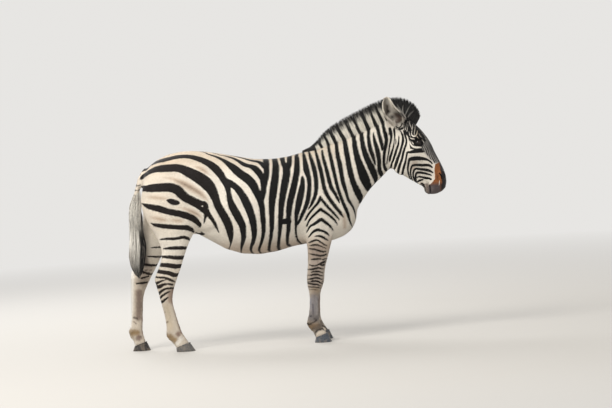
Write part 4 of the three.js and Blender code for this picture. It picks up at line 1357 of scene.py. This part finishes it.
# ---- mane: tip x, tip z, root x, root z, half width of the CAD's outline, withers to forelock ----
MANE = np.array([
    (150, 1299, 158, 1278, 7),
    (205, 1320, 215, 1288, 15),
    (252, 1360, 270, 1300, 21),
    (300, 1411, 328, 1318, 25),
    (358, 1455, 390, 1338, 27),
    (430, 1494, 470, 1362, 28),
    (500, 1526, 538, 1384, 28),
    (570, 1557, 600, 1408, 28),
    (638, 1585, 658, 1432, 28),
    (704, 1606, 714, 1456, 28),
    (768, 1620, 772, 1470, 28),
    (832, 1618, 826, 1480, 29),
    (888, 1598, 862, 1470, 31),
    (932, 1564, 888, 1455, 31),
    (960, 1522, 908, 1440, 27),
    (966, 1482, 922, 1428, 19),
    (950, 1452, 930, 1422, 8),
], float)
# Which rung's tip the hair that is rooted at each rung reaches for: it leans back, and fans out at the poll.
MANE_ROOT_AT = (0.0, 2.3, 3.0, 4.0, 4.8, 5.5, 6.3, 7.2, 8.0, 9.0, 10.0, 11.0, 12.0, 13.0, 14.0, 15.6)
MANE_TIP_AT = (0.0, 2.1, 2.85, 3.75, 4.5, 5.2, 6.0, 6.85, 7.6, 8.35, 9.3, 10.6, 12.0, 13.3, 14.6, 16.0)
MANE_BLACKS = (245, 290, 335, 385, 444, 505, 556, 612, 666, 711, 752)  # x of the dark bands at the crest
# Half width of a dark band, as a share of the way to the next one, at the root and further up
MANE_BAND = (0.27, 0.2)
# Pale streaks over the black forelock: how many locks, how far they spread, colour, path
FORELOCK_STREAKS = [
    (90, 3.2, "d9d2c8", "868 1474, 853 1503, 832 1528, 808 1550, 784 1568"),
    (36, 2.8, "b5b2ac", "842 1520, 832 1536, 820 1556, 812 1574"),
    (54, 3.2, "bdb9b2", "853 1502, 849 1524, 850 1542, 855 1562"),
    (46, 2.8, "a19e98", "862 1488, 876 1515, 890 1540, 904 1558"),
    (48, 3.6, "8b8783", "880 1476, 897 1497, 914 1512, 930 1524"),
]
MANE_PALE, MANE_BLACK, MANE_TIPS = colour("f2ecdf"), colour("12100f"), colour("0f0c0b")
MANE_LOCKS = 7400
MANE_STATIONS = 5


def along_mane(at, columns):
    return np.stack([np.interp(at, range(len(MANE)), MANE[:, k]) for k in columns], -1)


def mane_lines(at):
    """Where the hair at each rung is rooted and reaches for, and the outline's half width there."""
    tip_at = np.interp(at, MANE_ROOT_AT, MANE_TIP_AT)
    return along_mane(at, (2, 3)), along_mane(tip_at, (0, 1)), along_mane(tip_at, (4,))


def mane_tone(at, height):
    """The hair's colour by where it is rooted, and by how far up it is, from 0 to 1."""
    x = along_mane(at, [2])[:, 0]
    order = np.interp(x, MANE_BLACKS, range(len(MANE_BLACKS)))
    away = np.abs(order - np.round(order)) + RNG.normal(size=len(at)) * 0.025
    band = np.interp(height, (0, 0.2), MANE_BAND)[None, :]
    dark = (away[:, None] < band) | (x > 735)[:, None] | (x < 160)[:, None]
    pale = MANE_PALE * RNG.uniform(0.8, 1.0, (len(at), 1, 1))
    tone = np.where(dark[..., None], MANE_BLACK, pale)
    turn = 0.60 + 0.10 * RNG.random((len(at), 1)) - 0.2 * (1 - ramp(x, 180, 330))[:, None]
    return mixed(tone, MANE_TIPS, ramp((height[None, :] - turn) / 0.12, 0, 1))


def mane_swell(height):
    """How far the hair stands to the side at each height, as a share of the outline's half width."""
    return (0.5 + 0.5 * np.sin(math.pi * np.clip(0.25 + height * 0.75, 0, 1))) * (1.02 - 0.45 * height**2)


def add_mane(uv_at):
    at = RNG.random(MANE_LOCKS) ** 0.95 * (len(MANE) - 1.4)
    aside = RNG.uniform(-1, 1, MANE_LOCKS)
    aside = np.sign(aside) * np.abs(aside) ** 0.6
    root, tip, half = mane_lines(at)
    reach = RNG.uniform(0.8, 1.035, MANE_LOCKS) - 0.05 * np.abs(aside) ** 3
    height = np.linspace(0, 1, MANE_STATIONS)
    paths = np.zeros((MANE_LOCKS, MANE_STATIONS, 3))
    flat = root[:, None] + (tip - root)[:, None] * (height[None, :] * reach[:, None])[..., None]
    paths[..., 0] = flat[..., 0] + np.sin(at * 19)[:, None] * 2.5 * height**2
    paths[..., 2] = flat[..., 1] - 7 * (1 - height)
    paths[..., 1] = aside[:, None] * half * mane_swell(height)
    paths[:, 1:] += RNG.normal(size=(MANE_LOCKS, MANE_STATIONS - 1, 3)) * [1.3, 0.8, 0.8]
    tone = mane_tone(at, height) * RNG.uniform(0.85, 1.1, (MANE_LOCKS, 1, 1))
    widths = np.array([4.0, 4.2, 3.8, 2.8, 0.7]) * RNG.uniform(0.8, 1.2, (MANE_LOCKS, 1)) * MM
    add_locks("mane_hair", paths, widths, tone, uv_at, 0.45, "mane")
    add_forelock(uv_at)
    add_mane_core(uv_at)


def add_forelock(uv_at):
    """Pale streaks that lie on the black forelock, on both sides."""
    paths, tones = [], []
    step = np.linspace(0, 1, MANE_STATIONS)
    for count, spread, tone, text in FORELOCK_STREAKS:
        line = strokes(text)[0]
        for side in (RIGHT, LEFT):
            for _ in range(count):
                at = step * (len(line) - 1) * RNG.uniform(0.45, 1.0)
                spots = np.stack([np.interp(at, range(len(line)), line[:, k]) for k in range(2)], 1)
                shift = RNG.normal(size=2) * spread * 0.5
                out = 30.5 * mane_swell(0.1 + 0.55 * step) + RNG.uniform(-2, 2)
                flat = spots + shift * (0.8 + 0.5 * step[:, None])
                paths.append(np.stack([flat[:, 0], side * out, flat[:, 1]], 1))
                tones.append(colour(tone) * RNG.uniform(0.6, 1.1) * (1 - 0.45 * step[:, None]))
    widths = np.tile([1.0, 1.6, 1.6, 1.1, 0.3], (len(paths), 1)) * MM
    add_locks("forelock", np.array(paths), widths, np.array(tones), uv_at, 0.45, "mane")


def add_locks(name, paths, widths, tones, uv_at, shine, replaced):
    hair = locks(name, paths * MM, widths, tones, uv_at(paths[:, 0] * MM), hair_material(name, shine))
    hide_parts(replaced)


CORE_RUNGS = 120
CORE_TURNS = np.linspace(0, 2 * math.pi, 14, endpoint=False)  # the corners of a core's section, as angles
CORE_WIDTH = 0.72  # as a share of the width of the CAD's outline


def add_core(name, places, tone, uv_at, replaced):
    """A closed body, of rings x sides x 3 places, that fills the inside of long hair."""
    rings, sides = places.shape[:2]
    last = rings * sides
    faces = tube_faces(np.arange(rings - 1)[:, None] * sides, sides).tolist()
    for k in range(sides):
        after = (k + 1) % sides
        faces += [(last, after, k), (last + 1, last - sides + k, last - sides + after)]
    flat = np.concatenate([places.reshape(-1, 3), places[[0, -1]].mean(1)])
    mesh = outward(mesh_of(name, flat, faces))
    store(mesh, "hair", np.concatenate([tone.reshape(-1, 3), tone[[0, -1]].mean(1)]))
    put_uv(mesh, uv_at(flat))
    shade_smooth(mesh)
    mesh.materials.append(hair_material(name, 0.6))
    obj = new_object(name, mesh)
    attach(obj, "root")
    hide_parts(replaced)


def add_mane_core(uv_at):
    at = np.linspace(0.15, len(MANE) - 1.6, CORE_RUNGS)
    root, tip, half = mane_lines(at)
    height = 0.36 - 0.44 * np.cos(CORE_TURNS)
    spots = root[:, None] + (tip - root)[:, None] * height[None, :, None]
    places = np.stack([spots[..., 0], np.sin(CORE_TURNS) * half * CORE_WIDTH, spots[..., 1]], -1)
    # The core is a fifth darker than the hair rooted there: painted shade inside the mane.
    tone = np.stack([mane_tone(at, np.array([h]))[:, 0] for h in height], 1) * 0.8
    add_core("mane_core", places * MM, tone, uv_at, "mane")


# ---- tail: rear x, rear z, front x, front z, half width of the CAD's outline, top to tip ----
TAIL = np.array([
    (-1001, 1118, -956, 1106, 25),
    (-1018, 1066, -952, 1060, 24),
    (-1036, 1012, -951, 1008, 25),
    (-1046, 950, -957, 950, 29),
    (-1048, 880, -966, 880, 35),
    (-1054, 800, -964, 800, 42),
    (-1064, 715, -953, 722, 46),
    (-1070, 650, -962, 660, 42),
    (-1062, 590, -975, 596, 33),
    (-1046, 545, -990, 545, 22),
    (-1024, 502, -1006, 500, 7),
], float)
TAIL_WHITE, TAIL_GREY = colour("fbf7ee"), colour("a39d95")
# The last of these, the grey of the switch's core, is darker than the pale hair round it: painted shade
# inside the switch.
TAIL_BLACK, TAIL_BROWN, TAIL_CORE_SHADE = colour("0e0c0c"), colour("5b4f47"), colour("8f8a84")
TAIL_CORE = (1000, 560)  # the heights, in mm, between which the switch has a core
TAIL_LOCKS = 2600
TAIL_STATIONS = 10
TAIL_FRINGE = 520  # how many of the locks are short ones that grow from the dock


def across_tail(z, share, aside):
    """A place in the switch: share runs from its front (0) to its rear (1), aside from right (-1) to left."""
    down = TAIL[::-1]
    rear = np.interp(z, down[:, 1], down[:, 0])
    front = np.interp(z, down[:, 3], down[:, 2])
    half = np.interp(z, down[:, 1], down[:, 4])
    return np.stack([front + (rear - front) * share, aside * half, z], -1)


def tail_tone(share, z):
    """Black down the front of the switch, white and grey behind it, brownish at the rear edge low down, and a
    painted shade down its front edge higher up, where it lies against the haunch.
    """
    count = len(share)
    chance = RNG.random(count)[:, None]
    light = TAIL_WHITE * RNG.uniform(0.7, 1.0, (count, 1))
    grey = TAIL_GREY * RNG.uniform(0.6, 1.1, (count, 1))
    pale = np.where(chance < 0.75, light, grey)[:, None] * np.ones((1, z.shape[1], 1))
    black = np.broadcast_to(TAIL_BLACK, pale.shape)
    band = ramp(0.33 - share[:, None], -0.05, 0.05) * ramp(860 - z, -20, 60)
    # Mostly painted shade down the front edge of the switch, from the dock to where the black begins, where
    # it lies against the haunch; the hair there is partly dark of its own.
    edge = 0.8 * ramp(0.13 - share[:, None], -0.04, 0.04) * ramp(1110 - z, 0, 40)
    band = np.maximum(band, edge)
    low = ramp(600 - z, -50, 70) * (chance < 0.7)
    rear = ramp(share[:, None], 0.8, 0.92) * ramp(720 - z, -40, 60) * 0.5
    tone = mixed(pale, TAIL_BROWN, rear)
    return mixed(tone, black, np.maximum(band * (chance < 0.93), low))


def add_tail(uv_at):
    fringe = np.arange(TAIL_LOCKS) < TAIL_FRINGE
    share = np.where(fringe, 1 - 0.8 * RNG.random(TAIL_LOCKS) ** 1.3, RNG.random(TAIL_LOCKS))
    turn = RNG.uniform(-1, 1, TAIL_LOCKS)
    turn = np.where(fringe, np.sign(turn), turn)
    aside = turn * np.sqrt(np.clip(1 - (2 * share - 1) ** 2, 0.03, 1))
    top = np.where(fringe, RNG.uniform(985, 1095, TAIL_LOCKS), RNG.uniform(800, 1004, TAIL_LOCKS))
    end = 500 + 150 * RNG.random(TAIL_LOCKS) ** 1.6 + 60 * np.abs(share - 0.5)
    end = np.where(fringe, top - RNG.uniform(110, 230, TAIL_LOCKS), end)
    step = np.linspace(0, 1, TAIL_STATIONS)
    z = top[:, None] + (end - top)[:, None] * step
    grown = np.where(fringe[:, None], 0.84 + 0.28 * ramp(step, 0, 0.4), 0.55 + 0.45 * ramp(step, 0, 0.3))
    spread_share = 0.5 + (share[:, None] - 0.5) * grown
    paths = across_tail(z, spread_share, aside[:, None] * grown)
    sway = RNG.normal(size=(TAIL_LOCKS, 1, 3)) * [2.5, 2.5, 0] * step[None, :, None]
    paths += sway + RNG.normal(size=paths.shape) * [0.9, 0.9, 0]
    shape = np.interp(step, (0, 0.15, 0.7, 1), (3.0, 4.6, 3.6, 0.6))
    widths = shape * RNG.uniform(0.75, 1.25, (TAIL_LOCKS, 1)) * np.where(fringe, 0.6, 1)[:, None] * MM
    add_locks("tail_hair", paths, widths, tail_tone(share, z), uv_at, 0.4, "tail_switch")
    add_tail_core(uv_at)


def add_tail_core(uv_at):
    z = np.linspace(*TAIL_CORE, CORE_RUNGS)[:, None] * np.ones(len(CORE_TURNS))
    share = np.broadcast_to(0.5 - 0.36 * np.cos(CORE_TURNS), z.shape)
    places = across_tail(z, share, CORE_WIDTH * np.sin(CORE_TURNS)[None])
    # Black low at the front, as the hair there; elsewhere the core's darker grey, painted shade inside the
    # switch.
    tone = np.where((share < 0.35)[..., None] & (z < 840)[..., None], TAIL_BLACK, TAIL_CORE_SHADE)
    add_core("tail_core", places * MM, tone, uv_at, "tail_switch")


# ---------------------------------------------------------------- eyes and hooves

EYE_RINGS = 48
LASHES = 46  # on each side
PUPIL = (0.30, 0.19)  # half length and half height, as angles from the ball's middle
IRIS = 0.62
CORNEA = 0.035  # how far it stands out, as a share of the ball's radius
IRIS_TONE, IRIS_EDGE = colour("24140c"), colour("0b0706")
PUPIL_TONE, EYE_CORNER = colour("050404"), colour("3b2f28")
LASH_TONE = colour("120e0c")


def add_eye(side):
    name = "eye_right" if side == RIGHT else "eye_left"
    mesh = bpy.data.meshes.new(name + "ball")
    with editing(mesh) as bm:
        bmesh.ops.create_uvsphere(bm, u_segments=2 * EYE_RINGS, v_segments=EYE_RINGS, radius=1)
    ball = coordinates(mesh)
    a, b, c = ball.T
    angle = np.arccos(np.clip(c, -1, 1))
    radius = 1 - CORNEA + CORNEA * np.exp(-((angle / 0.5) ** 4))
    put_coordinates(mesh, eye_centre(side) + (ball * radius[:, None]) @ eye_axes(side) * EYE_RADIUS)
    in_pupil = np.hypot(a / PUPIL[0], b / PUPIL[1])
    ray = 1 + 0.25 * np.sin(np.arctan2(b, a) * 41)
    tone = mixed(IRIS_TONE * ray[:, None], PUPIL_TONE, 1 - ramp(in_pupil, 0.9, 1.1))
    tone = mixed(tone, IRIS_EDGE, ramp(angle, IRIS * 0.85, IRIS))
    tone = mixed(tone, EYE_CORNER, ramp(angle, IRIS * 1.5, IRIS * 1.9))
    store(mesh, "eye_tone", tone)
    shade_smooth(mesh)
    n = Nodes(name)
    veins = n.span(n.noise(260, 4), 0.5, 0.8, 0, 0.5)
    n.finish(n.blend(n.attribute("eye_tone", "Color"), (0.02, 0.008, 0.004, 1), veins), 0.12, 0.4)
    n.shader.inputs["Coat Weight"].default_value = 0.25
    n.shader.inputs["Coat Roughness"].default_value = 0.03
    mesh.materials.append(n.material)
    eye = new_object(name + "ball", mesh)
    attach(eye, "root")
    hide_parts(name)


def add_lashes(uv_at):
    paths = []
    for side in (RIGHT, LEFT):
        for t in np.linspace(-0.86, 0.9, LASHES):
            a = t * EYE_HALF_LENGTH
            b = EYE_OPENING[0] * (1 - t * t) ** 0.75 + 1.2
            c = math.sqrt((EYE_RADIUS / MM + LID) ** 2 - a * a - b * b)
            root = np.array([a, b, c])
            away = np.array([a * 0.25, -2 + RNG.normal(), 9.0]) + RNG.normal(size=3) * 0.8
            curve = np.array([root, root + away * 0.5 + [0, 1.0, 0], root + away])
            paths.append(eye_centre(side) + curve @ eye_axes(side) * MM)
    paths = np.array(paths)
    widths = np.tile([0.9, 0.7, 0.2], (len(paths), 1)) * MM
    tone = np.tile(LASH_TONE, (len(paths), 3, 1))
    locks("lashes", paths, widths, tone, uv_at(paths[:, 0]), hair_material("lashes", 0.5))


HOOF_VOXEL = 0.0022
HOOF_DUST = (0.34, 0.27, 0.2, 1)
# The hooves' own tones; the two left ones, on the far side, are made darker: painted shade.
HOOF_TONES_AND_SHADE = {"hoof_hind_right": "6a6866", "hoof_hind_left": "3c3a39", "hoof_fore_right": "545a62",
              "hoof_fore_left": "4a4e54"}


def add_hoof(node):
    """The CAD's hoof with its facets smoothed away, growth rings, and a coronet under the hair."""
    hoof = new_object(node + "_horn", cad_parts[node].data.copy())
    mesh = remeshed(hoof, HOOF_VOXEL)
    smooth(mesh, 0.6 * ramp(coordinates(mesh)[:, 2], 0.0, 0.006), 14)
    co, normal = coordinates(mesh), normals(mesh)
    z = co[:, 2] / MM
    rings = 0.35 * np.sin(z / 1.5 + 0.8 * np.sin(co[:, 0] / MM / 9)) * ramp(z, 4, 10)
    wear = -1.6 * (1 - ramp(z, 0, 5)) * (np.abs(normal[:, 2]) < 0.6)
    coronet = 1.2 * np.exp(-(((z - z.max() + 12) / 6) ** 2))
    into_leg = 5 * ramp(normal[:, 2], 0.55, 0.85) * ramp(z, 25, 35)
    co = co + normal * ((rings + wear + coronet) * ramp(z, 0.2, 2) + into_leg)[:, None] * MM
    co[:, 2] = co[:, 2].clip(0, None)
    put_coordinates(mesh, co)
    shade_smooth(mesh)
    n = Nodes(node)
    streaks = n.noise(340, 3, (1, 1, 16))
    cloud = n.noise(40, 3)
    rgb = colour(HOOF_TONES_AND_SHADE[node])
    tone = n.blend((*rgb, 1), (*(rgb * 0.45), 1), n.span(streaks, 0.35, 0.65))
    tone = n.blend(tone, HOOF_DUST, n.span(cloud, 0.45, 0.75, 0, 0.45))
    n.bump(streaks, 0.4, 0.0008)
    n.finish(tone, n.span(streaks, 0.3, 0.7, 0.7, 0.5), 0.3)
    mesh.materials.clear()
    mesh.materials.append(n.material)
    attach(hoof, "root")
    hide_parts(node)


# ---------------------------------------------------------------- light and camera

MM_PER_PIXEL = 6.8
IMAGE_WIDTH = 612
CAMERA_AIM = Vector((0.153, 0.0, 0.935))
CAMERA_DISTANCE = 19.0
CAMERA_ELEVATION = math.radians(2.5)
CAMERA_ROLL = math.radians(3.8)
WORLD_COLOUR = (1.0, 0.985, 0.96, 1)
WORLD_STRENGTH = 0.8
FLOOR_COLOUR = (0.5, 0.485, 0.46, 1)
KEY_COLOUR = (1.0, 0.97, 0.92)


def add_camera():
    data = bpy.data.cameras.new("camera")
    data.lens = data.sensor_width * CAMERA_DISTANCE / (IMAGE_WIDTH * MM_PER_PIXEL * MM)
    data.clip_end = 1000
    forward = Vector((0, math.cos(CAMERA_ELEVATION), -math.sin(CAMERA_ELEVATION)))
    right = Vector((1, 0, 0))
    up = right.cross(forward)
    tilted_right = right * math.cos(CAMERA_ROLL) - up * math.sin(CAMERA_ROLL)
    tilted_up = right * math.sin(CAMERA_ROLL) + up * math.cos(CAMERA_ROLL)
    place = Matrix((tilted_right, tilted_up, -forward)).transposed().to_4x4()
    place.translation = CAMERA_AIM - forward * CAMERA_DISTANCE
    camera = bpy.data.objects.new("camera", data)
    camera.matrix_world = place
    bpy.context.scene.collection.objects.link(camera)
    bpy.context.scene.camera = camera


def add_floor():
    """A pale floor that turns into the backdrop's own light far from the animal, so that no horizon shows."""
    mesh = bpy.data.meshes.new("floor")
    with editing(mesh) as bm:
        bmesh.ops.create_circle(bm, cap_ends=True, radius=400, segments=96)
    floor = new_object("floor", mesh)
    n = Nodes("floor")
    n.finish(FLOOR_COLOUR, 0.9)
    place = n.add("TexCoord").outputs["Object"]
    distance = n.add("VectorMath", {0: place}, operation="LENGTH").outputs["Value"]
    glow = n.add("Emission", {"Color": WORLD_COLOUR, "Strength": WORLD_STRENGTH})
    far = n.add("MixShader", {0: n.span(distance, 3.0, 11.0), 1: n.shader.outputs[0], 2: glow.outputs[0]})
    n.feed(n.tree.nodes["Material Output"].inputs["Surface"], far.outputs[0])
    mesh.materials.append(n.material)


def add_light(name, place, size, power, tone=(1, 1, 1)):
    data = bpy.data.lights.new(name, "AREA")
    data.size = size
    data.energy = power
    data.color = tone
    light = bpy.data.objects.new(name, data)
    light.location = place
    light.rotation_euler = (Vector((0, 0, 0.9)) - Vector(place)).to_track_quat("-Z", "Y").to_euler()
    bpy.context.scene.collection.objects.link(light)


def add_studio():
    world = bpy.data.worlds.new("studio")
    world.use_nodes = True
    world.node_tree.nodes["Background"].inputs["Color"].default_value = WORLD_COLOUR
    world.node_tree.nodes["Background"].inputs["Strength"].default_value = WORLD_STRENGTH
    bpy.context.scene.world = world
    bpy.context.scene.view_settings.view_transform = "Standard"
    add_light("key", (-3.5, -4.5, 6.5), 3.5, 500, KEY_COLOUR)
    add_light("back", (-3.0, 5.0, 5.0), 4.0, 300)


# ---------------------------------------------------------------- the model

skin = base_skin()
sculpt(skin.data, BODY_FORMS + LEG_FORMS + HEAD_FORMS)
sculpt_rim(skin.data, *NOSTRIL_RIM)
sculpt_eyes(skin.data)
add_ears(skin)
skin_surface = Surface(skin.data)
base, ink, stripe, bare = markings(skin_surface)
for name, values in (("base", base), ("ink", ink), ("stripe", stripe), ("bare", bare)):
    store(skin.data, name, values)
lies(skin.data, skin_surface)
shade_smooth(skin.data)
skin.data.materials.clear()
skin.data.materials.append(coat_material())
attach(skin, "root")
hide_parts(*FLESH)
unwrap(skin)

scatter = Scatter(skin.data, skin_surface)
uv_at = uv_finder(skin.data, skin_surface)
x, y, z = scatter.middle.T
hairy = 1 - bare[scatter.corners].mean(1)
regions = {"head": x > 0.70,
           "neck": (x > 0.25) & (x <= 0.70) & (z > 0.5),
           "chest": (x > -0.2) & (x <= 0.25) & (z > 0.5),
           "rear": (x <= -0.2) & (z > 0.5),
           "legs": (x <= 0.70) & (z <= 0.5)}
for name, where in regions.items():
    tufts("coat_" + name, scatter, skin_surface, (base, ink, stripe, bare), hairy * where)
add_mane(uv_at)
add_tail(uv_at)
for side in (RIGHT, LEFT):
    add_eye(side)
add_lashes(uv_at)
for node in HOOF_TONES_AND_SHADE:
    add_hoof(node)

add_floor()
add_studio()
add_camera()
